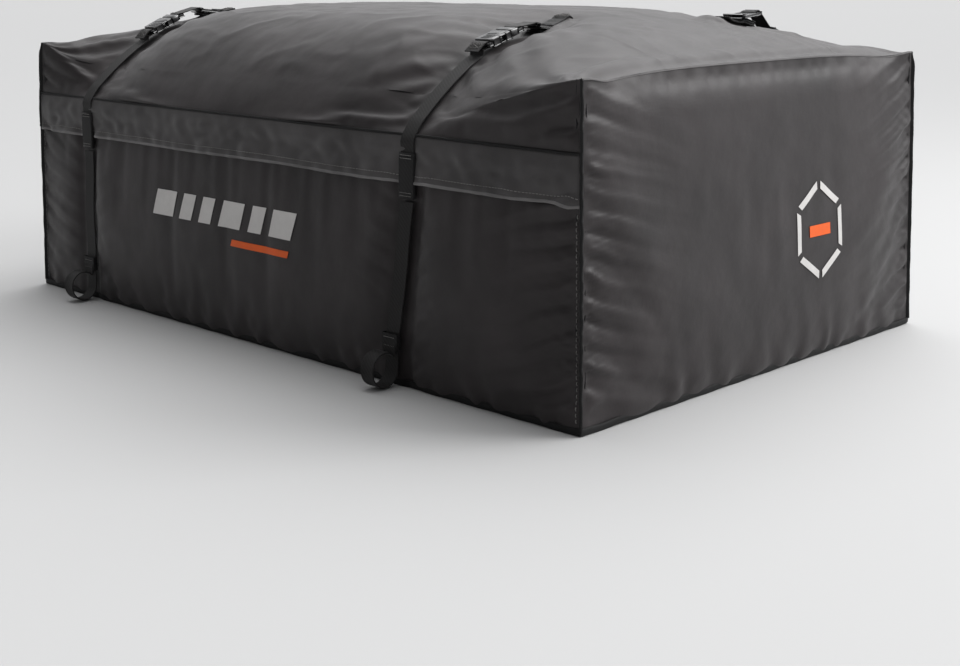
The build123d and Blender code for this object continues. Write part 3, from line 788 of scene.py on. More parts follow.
def noise_field(points, scale, seed, octaves=3):
    """Repeatable noise about zero at each point."""
    flat = points.reshape(-1, 3)
    shift = Vector((seed * 3.1, seed * 1.7, seed * 2.3))
    values = [noise.fractal(Vector(p) * scale + shift, 1.0, 2.0, octaves) for p in flat]
    return np.array(values).reshape(points.shape[:-1])


def pucker(distance, height, field, depth, pitch, reach):
    """Short folds that run out from a seam, strongest near it, uneven in pitch."""
    phase = 2 * math.pi * height / pitch + 2.2 * field
    fold = np.sin(phase) + 0.45 * np.sin(2.3 * phase + 1.0)
    grow = smoothstep(0.0, 0.016, distance)
    return depth * fold * np.exp(-((distance / reach) ** 1.1)) * grow * (0.55 + 0.9 * np.abs(field))


# depth, spacing up the seam and reach from it
WIDE_PLEATS = (0.0036, 0.036, 0.060)
NARROW_PLEATS = (0.0012, 0.019, 0.028)
STRAP_PLEATS = (0.0013, 0.036, 0.03)


def fine_patch(name):
    """One patch of the skin, finer, with seam puckers, creases and small folds."""
    coarse = COARSE[name]
    nominal = NOMINAL[name]
    grid = refine(refine(coarse, FINER, 0), FINER, 1)
    flat = refine(refine(nominal, FINER, 0), FINER, 1)
    normal = grid_normals(grid)
    slow = noise_field(flat, 7.0, 1)
    quick_field = noise_field(flat, 16.0, 2)
    push = np.zeros(grid.shape[:2])
    x, y, z = flat[..., 0], flat[..., 1], flat[..., 2]
    if name == "top":
        edge = np.minimum(RIM_X - np.abs(x), RIM_Y - np.abs(y))
        ridges = 1 - np.abs(noise_field(flat * np.array([0.55, 1.0, 1.0]), 11.0, 4, 2)) * 2.2
        push += 0.0016 * np.clip(ridges, 0, 1) ** 3 * smoothstep(0.0, 0.03, edge)
        for fact in STRAPS.values():
            side = smoothstep(0.05, 0.2, y * fact["side"])
            gap = x - fact["x"]
            turn = gap * 0.62 + (RIM_Y - np.abs(y)) * np.sign(gap) * 0.9
            fan = np.sin(turn * 2 * math.pi / 0.052 + 2.0 * slow)
            gap = np.abs(gap)
            push += 0.0019 * fan * np.exp(-((gap / 0.11) ** 2)) * smoothstep(0.014, 0.05, gap) * side
        for sx in (-1, 1):
            for sy in (-1, 1):
                dx, dy = x - sx * RIM_X, y - sy * RIM_Y
                away = np.hypot(dx, dy)
                angle = np.arctan2(np.abs(dy), np.abs(dx) + EDGE)
                wave = np.sin(angle * 13 + slow * 2.4)
                push += 0.0022 * wave * smoothstep(0.01, 0.06, away) * np.exp(-away / 0.13)
        push += 0.0011 * quick_field * smoothstep(0.0, 0.02, edge)
    else:
        reach = RIM_X if name in ("right", "left") else RIM_Y
        run = x if name in ("right", "left") else y
        for end in (-1, 1):
            distance = np.abs(end * reach - run)
            tall = smoothstep(0.0, 0.05, z) * (1 - 0.3 * smoothstep(0.38, 0.425, z))
            if name != "front" and (end < 0 or name == "rear"):
                tall = tall * 0.55
            push += pucker(distance, z + 0.3 * distance, slow + 0.5 * end, *WIDE_PLEATS) * tall
            push += pucker(distance, z - 0.5 * distance, quick_field, *NARROW_PLEATS) * tall
        if name in ("right", "left"):
            for fact in STRAPS.values():
                if (name == "right") != (fact["side"] < 0):
                    continue
                gap = np.abs(x - strap_x(fact, z))
                push -= 0.0022 * np.exp(-(((gap - 0.019) / 0.007) ** 2)) * (z < TUB_TOP)
                push += pucker(np.abs(gap - 0.02), z - 0.4 * gap, slow, *STRAP_PLEATS) * (gap > 0.018)
        base = np.exp(-z / 0.035)
        push += 0.0024 * base * np.sin(2 * math.pi * run / 0.061 + 5 * slow) * smoothstep(0.0, 0.006, z)
        push += 0.0005 * quick_field * smoothstep(0, 0.02, z) + 0.0014 * slow * smoothstep(0, 0.06, z)
        hold = 1 - smoothstep(TUB_TOP - 0.02, TUB_TOP, z) * (1 - smoothstep(LID_SEAM, LID_SEAM + 0.02, z))
        if name != "front":
            push *= 0.15 + 0.85 * hold
        push *= smoothstep(0, 0.01, reach - np.abs(run)) * 0.9 + 0.1
        push *= smoothstep(RIM, RIM - 0.012, z)
    finished = grid + normal * push[..., None]
    finished[..., 2] = np.maximum(finished[..., 2], SKIN_FLOOR)
    inset = LINER_GAP
    if name == "top":
        inset = LINER_GAP * (0.12 + 0.88 * smoothstep(0.0, 0.035, RIM_X - x))[..., None]
    lining = grid - normal * inset
    lining[..., 2] = np.maximum(lining[..., 2], SKIN_FLOOR)
    return finished, flat, lining


FINE = {}
FLAT = {}
LINER = {}
for patch_name in NOMINAL:
    FINE[patch_name], FLAT[patch_name], LINER[patch_name] = fine_patch(patch_name)
NORMALS = {name: grid_normals(grid) for name, grid in FINE.items()}
FINE_ROWS = FLAT["right"][:, 0, 2]


def row_at(height):
    return int(np.argmin(np.abs(FINE_ROWS - height)))


def skin_at(side, run, height, lift=0.0):
    """A point on a wall's skin, by distance along the bag (or across it) and height."""
    grid, normals = FINE[side], NORMALS[side]
    axis = 0 if side in ("right", "left") else 1
    along = FLAT[side][0, :, axis]
    if along[0] > along[-1]:
        column = np.interp(-run, -along, np.arange(len(along)))
    else:
        column = np.interp(run, along, np.arange(len(along)))
    row = np.interp(height, FINE_ROWS, np.arange(len(FINE_ROWS)))
    r0, c0 = min(int(row), grid.shape[0] - 2), min(int(column), grid.shape[1] - 2)
    fr, fc = row - r0, column - c0
    blended = []
    for source in (grid, normals):
        low = source[r0, c0] * (1 - fc) + source[r0, c0 + 1] * fc
        high = source[r0 + 1, c0] * (1 - fc) + source[r0 + 1, c0 + 1] * fc
        blended.append(low * (1 - fr) + high * fr)
    return blended[0] + blended[1] * lift


ROW_TUB = row_at(TUB_TOP)
ROW_BAND = row_at(BAND_BOTTOM)
ZIPPED = ("right", "left", "rear")


FOLD_FROM = 0.553


def split_fold(piece, name):
    """Takes the strip of lid beside the hinge seam out as its own piece."""
    mesh = piece.data
    normals = [vertex.normal.copy() for vertex in mesh.vertices]
    strip, rest = [], []
    for face in mesh.polygons:
        at_hinge = abs(face.normal.z) > 0.45 and all(mesh.vertices[k].co.x > FOLD_FROM for k in face.vertices)
        (strip if at_hinge else rest).append(tuple(face.vertices))
    parts = []
    for faces, label in ((rest, piece.name), (strip, name)):
        used = sorted({k for face in faces for k in face})
        place = {k: i for i, k in enumerate(used)}
        part = bpy.data.meshes.new(label)
        corners = [tuple(place[k] for k in face) for face in faces]
        part.from_pydata([mesh.vertices[k].co for k in used], [], corners)
        part.materials.append(mesh.materials[0])
        part.polygons.foreach_set("use_smooth", [True] * len(part.polygons))
        part.normals_split_custom_set_from_vertices([normals[k] for k in used])
        parts.append(part)
    piece.data = parts[0]
    fold = bpy.data.objects.new(name, parts[1])
    bpy.context.scene.collection.objects.link(fold)
    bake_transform(fold)


def build_shells():
    """Tub and lid skins outside, with a thinner-looking liner just inside each."""
    tub, lid, tub_liner, lid_liner = Pile(), Pile(), Pile(), Pile()
    for name in ("right", "front", "left", "rear"):
        grid, inside = FINE[name], LINER[name]
        top = ROW_TUB if name in ZIPPED else grid.shape[0] - 1
        tub.grid(grid[: top + 1])
        tub_liner.grid(inside[: top + 1 : 2, ::2], flip=True)
        if name in ZIPPED:
            lid.grid(grid[ROW_BAND:])
            lid_liner.grid(inside[ROW_BAND:], flip=True)
    lid.grid(FINE["top"])
    lid_liner.grid(LINER["top"], flip=True)
    shell = tub.piece("tub_shell", "shell", weld=0.0004, sharp=False)
    walls = ("right_side_panel", "left_side_panel", "rear_panel", "front_panel")
    finish_piece(shell, "tub", "shell_fabric", *walls)
    cover = lid.piece("lid_shell", "shell", weld=0.0004, sharp=False)
    split_fold(cover, "lid_fold")
    bands = ("lid_right_band", "lid_left_band", "lid_rear_band")
    finish_piece(cover, "lid", "shell_fabric", "lid_top_panel", *bands)
    finish_piece(tub_liner.piece("tub_liner", "liner", sharp=False), "tub", "shell_fabric")
    lining = lid_liner.piece("lid_liner", "liner", sharp=False)
    split_fold(lining, "lid_fold_liner")
    finish_piece(lining, "lid", "shell_fabric")


build_shells()

# ---------------------------------------------------------------- floor panel


def build_floor_panel():
    low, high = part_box("base_panel")
    pile = Pile()
    xs = np.linspace(low.x, high.x, 61)
    ys = np.linspace(low.y, high.y, 41)
    grid = np.zeros((len(ys), len(xs), 3))
    grid[..., 0] = xs
    grid[..., 1] = ys[:, None]
    swell = noise_field(grid, 5.0, 7)
    edge = np.minimum(high.x - np.abs(grid[..., 0]), high.y - np.abs(grid[..., 1]))
    grid[..., 2] = 0.004 + 0.0022 * (swell + 0.6) * smoothstep(0, 0.05, edge)
    pile.grid(grid)
    under = grid.copy()
    under[..., 2] = 0.0004
    pile.grid(under, flip=True)
    pile.close(grid, under)
    finish_piece(pile.piece("floor_panel", "liner", weld=0.0002), "tub", "shell_fabric", "base_panel")


build_floor_panel()

# ---------------------------------------------------------------- seams and bindings


def corner_path(first, second, low_row, high_row):
    """The shared edge of two wall patches and the outward diagonal there."""
    path = FINE[first][low_row : high_row + 1, -1]
    rows = slice(low_row, high_row + 1)
    outward = NORMALS[first][rows, -3] + NORMALS[second][rows, 2]
    outward = outward / np.linalg.norm(outward, axis=1, keepdims=True)
    return path, outward


def pinched_seam(pile, path, outward, width=0.0021, depth=0.0046, root=0.0036):
    """A narrow folded seam that stands out along a corner, a little uneven, rooted inside the skin."""
    wobble = np.array([noise.noise(Vector(p) * 40) for p in path])
    ending = smoothstep(RIM - 0.022, RIM - 0.002, path[:, 2])
    lifted = path + outward * ((0.0012 + 0.0009 * wobble) * (1 - ending) - 0.0026 * ending)[:, None]
    profile = mirrored([(-width, -root), (-width, 0.35 * depth), (-0.45 * width, 0.6 * depth)])
    pile.take(*sweep(lifted, outward, profile))


def corner_stitches(thread, wall, end, low, high):
    """A row of stitches beside a corner seam."""
    heights = np.linspace(low, high, 60)
    run = end * (RIM_X - 0.0062)
    path = np.array([skin_at(wall, run, z, 0.0006) for z in heights])
    outward = np.array([skin_at(wall, run, z, 1.0) - skin_at(wall, run, z, 0.0) for z in heights])
    stitch_row(thread, path, outward, 0.0078, 0.0046, 0.0005)


def build_seams():
    tub, lid = Pile(), Pile()
    last = FINE["right"].shape[0] - 1
    walls = ("right", "front", "left", "rear")
    for first, second in zip(walls, walls[1:] + walls[:1]):
        at_front = "front" in (first, second)
        path, outward = corner_path(first, second, 2, last if at_front else row_at(HEM))
        pinched_seam(tub, path, outward)
        if not at_front:
            path, outward = corner_path(first, second, row_at(HEM), last)
            over_flap = 1 - smoothstep(LID_SEAM, LID_SEAM + 0.012, path[:, 2:3])
            path = path + outward * 0.0012 * over_flap
            pinched_seam(lid, path, outward)
    thread = Pile()
    for wall in ("right", "left"):
        for end in (-1, 1):
            corner_stitches(thread, wall, end, 0.012, HEM - 0.006)
    finish_piece(thread.piece("corner_stitches", "thread"), "tub", "binding")
    finish_piece(tub.piece("tub_seams", "binding"), "tub", "binding", "tub_corner_seams")
    finish_piece(lid.piece("lid_seams", "binding"), "lid", "binding", "lid_corner_seams")


def base_loop(height, lift):
    points = []
    outs = []
    row = row_at(height)
    for name in ("right", "front", "left", "rear"):
        path = FINE[name][row, :-1]
        normals = NORMALS[name][row, :-1].copy()
        normals[:, 2] = 0
        points.append(path + normals * lift)
        outs.append(normals)
    return np.concatenate(points), np.concatenate(outs)


def build_base_binding():
    path, outward = base_loop(0.0, 0.0008)
    path = path.copy()
    path[:, 2] = 0.0052 + 0.0006 * np.sin(np.arange(len(path)) * 0.41)
    pile = Pile()
    profile = mirrored([(-0.0045, -0.0008), (-0.0045, 0.0012), (-0.003, 0.0021)])
    pile.take(*sweep(path, outward, profile, closed=True))
    finish_piece(pile.piece("base_tape", "binding"), "tub", "binding", "base_binding")


def build_hinge_seam():
    """The fold the lid turns on: a covered seam along the top of the front panel."""
    path = FINE["front"][-1]
    pile = Pile()
    outward = np.tile(np.array([0.75, 0.0, 0.66]), (len(path), 1))
    profile = [(-0.0019, -0.0012), (-0.0015, 0.0001), (0, 0.0003), (0.0015, 0.0001), (0.0019, -0.0012)]
    pile.take(*sweep(path, outward, profile))
    finish_piece(pile.piece("hinge_seam", "shell"), "tub", "binding", "hinge_tape")


build_seams()
build_base_binding()
build_hinge_seam()

# ---------------------------------------------------------------- storm flaps

FLAP_ROWS = 14
FLAP_THICK = 0.0013


def flap_grid(side, start, end, columns):
    """Outer face of a flap that hangs from the lid seam over the zip."""
    runs = np.linspace(start, end, columns)
    grid = np.zeros((FLAP_ROWS + 1, columns, 3))
    for r in range(FLAP_ROWS + 1):
        share = r / FLAP_ROWS
        height = HEM + (LID_SEAM - HEM) * share
        for c, run in enumerate(runs):
            wave = noise.fractal(Vector((run * 9, height * 22, 3.7 if side == "right" else 8.1)), 1.0, 2.0, 3)
            fine = noise.noise(Vector((run * 46 + height * 30, height * 60, 5.0)))
            free = min(1.0, 3.2 * (1 - share))
            ends = min(1.0, min(run - start, end - run) / 0.03)
            lift = 0.0014 + (0.0030 * free + 0.0012 * (1 - share)) * (0.35 + 0.65 * ends)
            slant = noise.noise(Vector((run * 30 - height * 42, height * 16, 5.0)))
            lift += (0.0022 * wave + 0.0022 * fine + 0.0020 * slant) * free * ends
            sag = 0.0016 * noise.noise(Vector((run * 7, 1.3, 0.0))) * (1 - share)
            grid[r, c] = skin_at(side, run, height + sag, max(lift, 0.0012))
    return grid


def build_flap(side, body, start, end, columns, name, *nodes):
    grid = flap_grid(side, start, end, columns)
    normals = grid_normals(grid)
    sign = 1.0 if np.sum(normals * NORMALS[side].mean((0, 1))) > 0 else -1.0
    normals = normals * sign
    pile = Pile()
    inner = grid - normals * FLAP_THICK
    pile.grid(grid)
    pile.grid(inner, flip=True)
    pile.close(grid, inner)
    flap = finish_piece(pile.piece(name, "flap", weld=0.0002), body, "shell_fabric", *nodes)
    # pale roll along the hem: its colour is a painted highlight on the folded edge
    hem = Pile()
    hem.take(*sweep(grid[0] - normals[0] * 0.0005, normals[0], round_profile(0.0022, 0.62, 8)))
    trim = [finish_piece(hem.piece(name + "_hem", "hem"), body, "binding")]
    thread = Pile()
    stitch_row(thread, grid[2] + normals[2] * 0.0002, normals[2])
    stitch_row(thread, grid[-1] + normals[-1] * 0.0004, normals[-1])
    trim.append(finish_piece(thread.piece(name + "_stitches", "thread"), body, "binding"))
    seam = Pile()
    seam.take(*sweep(grid[-1] + normals[-1] * 0.0002, normals[-1], round_profile(0.0017, 0.8, 8)))
    trim.append(finish_piece(seam.piece(name + "_seam", "binding"), body, "binding"))


SIDE_RUN = RIM_X - 0.0008
REAR_RUN = -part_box("storm_flap_rear")[0].y
build_flap("right", "lid", -SIDE_RUN, SIDE_RUN, 260, "flap_right", "storm_flap_right")
build_flap("left", "lid", -SIDE_RUN, SIDE_RUN, 260, "flap_left", "storm_flap_left")
build_flap("rear", "rear_flap", -REAR_RUN, REAR_RUN, 170, "flap_rear", "storm_flap_rear")

# ---------------------------------------------------------------- zip


TOOTH_PITCH = 0.0030
ZIP_LIFT = -0.0037  # the zip lies inside the skin
ZIP_RUNS = (
    ("left", 0.600, -RIM_X + 0.003, 150),
    ("rear", RIM_Y - 0.003, -RIM_Y + 0.003, 96),
    ("right", -RIM_X + 0.003, 0.600, 150),
)


def zip_line(height, lift):
    """The zip's path round the rear and sides, in order, with outward directions."""
    points, outs = [], []
    for side, run_from, run_to, count in ZIP_RUNS:
        for run in np.linspace(run_from, run_to, count):
            points.append(skin_at(side, run, height, lift))
            normal = skin_at(side, run, height, 1.0) - skin_at(side, run, height, 0.0)
            outs.append(normal)
    return np.array(points), np.array(outs)


def build_zip_half(name, body, tape_middle, tape_half, teeth_height, node):
    tape = Pile()
    path, outs = zip_line(tape_middle, ZIP_LIFT)
    tape.take(*sweep(path, outs, mirrored([(-tape_half, -0.0004), (-tape_half, 0.0004)])))
    finish_piece(tape.piece(name + "_tape", "hook"), body, "zip_coil", node)
    teeth = Pile()
    path, outs = zip_line(teeth_height, ZIP_LIFT)
    steps = np.linalg.norm(np.diff(path, axis=0), axis=1)
    travelled = np.concatenate([[0], np.cumsum(steps)])
    tooth = mirrored([(-0.0011, -0.0013), (-0.0011, 0.0013)])
    for distance in np.arange(0.002, travelled[-1], TOOTH_PITCH):
        point = np.array([np.interp(distance, travelled, path[:, k]) for k in range(3)])
        ahead = np.array([np.interp(distance + 0.001, travelled, path[:, k]) for k in range(3)])
        out = np.array([np.interp(distance, travelled, outs[:, k]) for k in range(3)])
        along = ahead - point
        along = along / max(np.linalg.norm(along), 1e-9)
        up = np.array([0, 0, 1.0])
        line = [point - up * 0.0013, point, point + up * 0.0013]
        teeth.take(*sweep(line, [out] * 3, tooth, side=along))
    finish_piece(teeth.piece(name + "_teeth", "coil", smooth=False), body, "zip_coil")


build_zip_half("lower_zip", "tub", 0.299, 0.0068, 0.3075, "lower_zip_chain")
build_zip_half("upper_zip", "lid", 0.322, 0.0078, 0.3125, "upper_zip_chain")


def dress_nodes(material, *nodes):
    for node in nodes:
        data = frame["nodes"][node].data
        data.materials.clear()
        data.materials.append(MATERIALS[material])


dress_nodes("hook", "hook_strips", "loop_strips", "loop_strip_rear")
dress_nodes("slider", "zip_slider_right", "zip_slider_left", "zip_pull_right", "zip_pull_left")

# ---------------------------------------------------------------- straps


def strap_line(name):
    """Middle line of a strap over the shoulder, from the keeper's foot to the buckle's loop."""
    fact = STRAPS[name]
    side = fact["side"]
    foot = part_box("shoulder_strap_" + name)[0].z
    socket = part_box("buckle_socket_" + name)
    end_y = max(abs(socket[0].y), abs(socket[1].y))
    lift = 0.0052
    points = []
    for z in np.linspace(foot, LID_SEAM - 0.004, 7):
        points.append((fact["x"], side * (float(wall_y(z)) + lift), z))
    y = np.linspace(STRAP_DOME_HALF * 0.968, end_y - 0.002, 12)
    z = strap_dome(y)
    slope = np.gradient(z, y)
    length = np.hypot(slope, 1)
    share = np.linspace(0, 1, 12)
    off = 0.0052 - 0.0016 * share
    for yy, zz, s, n, o in zip(y, z, slope, length, off):
        points.append((fact["x"], side * (yy - s / n * o), zz + o / n))
    return smooth_path(points, 3)


def buckle_local(name):
    """A buckle's frame, from its joints."""
    joints = {j["name"]: j for j in frame["joints"]}
    along = Vector(joints["buckle_slide_" + name]["axis"]).normalized()
    prong = joints["prong_a_squeeze_" + name]
    off = Vector(prong["axis"]).normalized()
    root = Vector(prong["pos_m"])
    return Local(root - along * 0.0448 + Vector((0.01075, 0, 0)) - off * 0.0055, along, off)


class Local:
    """Maps buckle coordinates (s along, t across, h off the lid), in millimetres, to the bag."""

    def __init__(self, origin, along, off):
        self.origin = np.array(origin)
        self.along = np.array(along)
        self.off = np.array(off)

    def point(self, s, t, h):
        return self.origin + (self.along * s + self.off * h) / 1000 - np.array([t / 1000, 0, 0])

    def line(self, points):
        return [self.point(s, t, h) for s, t, h in points]

    def side_line(self, points):
        """A line in the strap's middle plane, from (s, h) pairs."""
        return [self.point(s, 0, h) for s, h in points]


def rounded_box(pile, local, s0, s1, t0, t1, h0, h1, bevel=1.0):
    """A moulded block with chamfered edges."""
    work = bmesh.new()
    bmesh.ops.create_cube(work, size=1.0)
    middle = Vector(((s0 + s1) / 2, (t0 + t1) / 2, (h0 + h1) / 2))
    size = Vector((s1 - s0, t1 - t0, h1 - h0))
    for v in work.verts:
        v.co = middle + v.co * size
    limit = 0.45 * min(abs(edge) for edge in size)
    offset = min(bevel, limit)
    bmesh.ops.bevel(work, geom=work.edges[:], offset=offset, segments=2, profile=0.5, affect="EDGES")
    work.verts.index_update()
    pile.take([local.point(*v.co) for v in work.verts], [[v.index for v in f.verts] for f in work.faces])
    work.free()


def blocks(pile, local, rows):
    """Rounded blocks; where across is one-sided, from both hands."""
    for s0, s1, t0, t1, h0, h1, bevel in rows:
        hands = (1,) if t0 == -t1 else (-1, 1)
        for hand in hands:
            rounded_box(pile, local, s0, s1, hand * t0, hand * t1, h0, h1, bevel)


def flat_bar(pile, local, s, t0, t1, h, radius):
    """A round cross bar from t0 to t1."""
    line = local.line([(s, t0 + (t1 - t0) * k / 4, h) for k in range(5)])
    pile.take(*sweep(line, local.off, round_profile(radius / 1000, 1.0, 10)))


# (along from, to, across from, to, off from, to, bevel), in millimetres
SOCKET_BLOCKS = (
    (8, 44, -17, 17, 9.1, 11, 0.9),
    (8, 44, -17, 17, 0, 1.9, 0.9),
    (8, 22, 14.1, 17, 0.6, 10.4, 1.2),
    (34, 44, 14.1, 17, 0.6, 10.4, 1.2),
    (0, 9, 13.2, 17, 3.2, 7.8, 1.4),
    (8, 16.8, -14.5, 14.5, 1.5, 9.5, 0.8),
    (13, 15.2, -10, 10, 10.7, 11.7, 0.45),
    (18, 20.2, -10, 10, 10.7, 11.7, 0.45),
    (23, 25.2, -10, 10, 10.7, 11.7, 0.45),
    (29, 41, -12.5, 12.5, 10.7, 11.5, 0.5),
)
PLUG_BLOCKS = (
    (45.6, 60, -17, 17, 0.7, 10.3, 1.8),
    (48, 57.5, -14, 14, 9.8, 11.1, 0.7),
    (24, 46.5, -2.5, 2.5, 3.1, 7.9, 0.7),
    (59, 69, 13.2, 17, 3.4, 7.6, 1.2),
)
LOCK_BLOCKS = (
    (0, 43, 13.8, 18, 0, 4, 1.2),
    (0, 7, -14.4, 14.4, 0.2, 3.8, 1.1),
    (16, 24, -14.4, 14.4, 0.2, 3.8, 1.1),
    (33, 41, -14.4, 14.4, 0.2, 3.8, 1.1),
)


def build_socket(name, local):
    """Housing with a waisted top, a raised rib, side windows and the bar the strap folds round."""
    pile = Pile()
    blocks(pile, local, SOCKET_BLOCKS)
    flat_bar(pile, local, 1.75, -15, 15, 5.5, 2.0)
    piece = pile.piece("socket_" + name, "plastic")
    return finish_piece(piece, "lid", "buckle_plastic", "buckle_socket_" + name)


def build_plug(name, local):
    """Head with a grip step, guide tongue, and the frame that holds the short webbing."""
    pile = Pile()
    blocks(pile, local, PLUG_BLOCKS)
    flat_bar(pile, local, 67.2, -15, 15, 5.5, 2.0)
    piece = pile.piece("plug_" + name, "plastic")
    return finish_piece(piece, "latch_" + name, "buckle_plastic", "buckle_plug_" + name)


def build_prong(name, local, hand, letter):
    """A springy arm that swells into a rounded barb."""
    pile = Pile()
    line = [(45.0, 10.75), (39.0, 10.7), (33.0, 10.9), (29.5, 11.3), (26.0, 11.2), (23.6, 10.4), (22.2, 9.8)]
    half = [1.25, 1.2, 1.3, 2.1, 2.2, 1.5, 0.7]
    vertices = []
    for (s, t), w in zip(line, half):
        for dt, dh in ((-w, -2.4), (w, -2.4), (w, 2.4), (-w, 2.4)):
            vertices.append(local.point(s, hand * (t + dt), 5.5 + dh))
    faces = [(0, 1, 2, 3), tuple(4 * (len(line) - 1) + k for k in (3, 2, 1, 0))]
    for k in range(len(line) - 1):
        for e in range(4):
            n = (e + 1) % 4
            faces.append((4 * k + e, 4 * k + n, 4 * k + 4 + n, 4 * k + 4 + e))
    pile.take(vertices, faces)
    body = "prong_" + letter + "_" + name
    piece = pile.piece(body + "_arm", "plastic")
    clean = bmesh.new()
    clean.from_mesh(piece.data)
    bmesh.ops.recalc_face_normals(clean, faces=clean.faces)
    bmesh.ops.bevel(clean, geom=clean.edges[:], offset=0.0004, segments=1, affect="EDGES")
    clean.to_mesh(piece.data)
    clean.free()
    finish_piece(piece, body, "buckle_plastic", body)


def lock_local(name):
    """Frame of the adjuster plate, from its CAD box."""
    side = STRAPS[name]["side"]
    low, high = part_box("ladder_lock_" + name)
    tilt = math.radians(6.0)
    along = Vector((0, -side * math.cos(tilt), -math.sin(tilt)))
    off = Vector((0, -side * math.sin(tilt), math.cos(tilt)))
    outer_y = low.y if side < 0 else high.y
    origin = Vector((STRAPS[name]["x"], outer_y, high.z - 0.0042))
    return Local(origin, along, off)


def build_lock(name):
    """Two-slot adjuster plate with a lifted thumb lip and toothed bars."""
    local = lock_local(name)
    pile = Pile()
    blocks(pile, local, LOCK_BLOCKS)
    arc = [(40.0, 2.0), (44.0, 2.6), (46.5, 4.4), (47.4, 6.6)]
    lip = mirrored([(-0.0172, -0.0011), (-0.0178, 0), (-0.0172, 0.0011)])
    for (sa, ha), (sb, hb) in zip(arc[:-1], arc[1:]):
        line = local.line([(sa, 0, ha), ((sa + sb) / 2, 0, (ha + hb) / 2), (sb, 0, hb)])
        pile.take(*sweep(line, local.off, lip, side=(1, 0, 0)))
    for k in range(9):
        t = -12 + 3 * k
        rounded_box(pile, local, 17, 23, t - 0.5, t + 0.5, 3.6, 4.6, 0.3)
    piece = pile.piece("lock_" + name, "plastic")
    finish_piece(piece, "latch_" + name, "buckle_plastic", "ladder_lock_" + name)
    return local


def strap_outward(path, sign):
    """Directions off the surface for a strap that runs across the bag."""
    out = np.cross(np.gradient(path, axis=0), np.array([1.0, 0, 0])) * sign
    return out / np.maximum(np.linalg.norm(out, axis=1, keepdims=True), 1e-9)


def band(name, path, outward, body, *nodes, width=WEB_WIDTH, thickness=WEB):
    """A length of strap webbing along a path."""
    pile = Pile()
    pile.take(*sweep(path, outward, web_profile(width, thickness), side=(1, 0, 0)))
    finish_piece(pile.piece(name, "webbing"), body, "webbing", *nodes)


def box_stitch(pile, centre, along, across, out, length, width):
    """The sewn box and cross that closes a webbing fold."""
    a, c = np.array(along) * length / 2, np.array(across) * width / 2
    centre = np.array(centre)
    corners = [centre - a - c, centre + a - c, centre + a + c, centre - a + c]
    lines = [(corners[k], corners[(k + 1) % 4]) for k in range(4)]
    lines += [(corners[0], corners[2]), (corners[1], corners[3])]
    for p, q in lines:
        path = np.array([p + (q - p) * k / 8 for k in range(9)])
        stitch_row(pile, path, np.array(out), 0.0034, 0.0024, 0.0004)


SHOULDER_LOOP = (
    (-7.5, 1.3), (-3.0, 1.6), (1.0, 2.0), (4.2, 3.0), (5.2, 5.5),
    (4.2, 8.2), (1.2, 9.2), (-4.0, 8.6), (-12.0, 5.6), (-19.0, 2.9),
)
TAIL_FOLD = ((60.5, 2.5), (64.5, 2.3), (68.5, 2.6), (70.6, 5.5), (68.5, 8.6), (65.5, 9.2), (62.5, 8.8))
TAIL_RUN = ((62.5, 8.9), (66.5, 9.1), (71.5, 7.6), (77.0, 6.6))
TAIL_END = (
    (-6.0, 3.6), (-1.5, 5.2), (4.0, 5.4), (8.5, 4.2), (10.0, 1.0), (8.5, -1.8), (4.0, -2.4), (-1.0, -2.0),
)


def build_shoulder(name, local):
    """Strap over the shoulder with the sewn loop that folds round the socket's bar."""
    full = np.concatenate([strap_line(name)[:-2], smooth_path(local.side_line(SHOULDER_LOOP), 3)])
    out = strap_outward(full, -STRAPS[name]["side"])
    label = "strap_over_" + name
    band(label, full, out, "lid", "shoulder_strap_" + name)
    thread = Pile()
    middle = local.point(-9.5, 0, 7.6)
    box_stitch(thread, middle, local.along * 0.94 + local.off * 0.33, (1, 0, 0), local.off, 0.009, 0.019)
    finish_piece(thread.piece("strap_stitches_" + name, "thread"), "lid", "webbing")


RAIL_LOOP = (0.430, 0.0275, 0.0232)  # centre's distance across, its height, and the radius


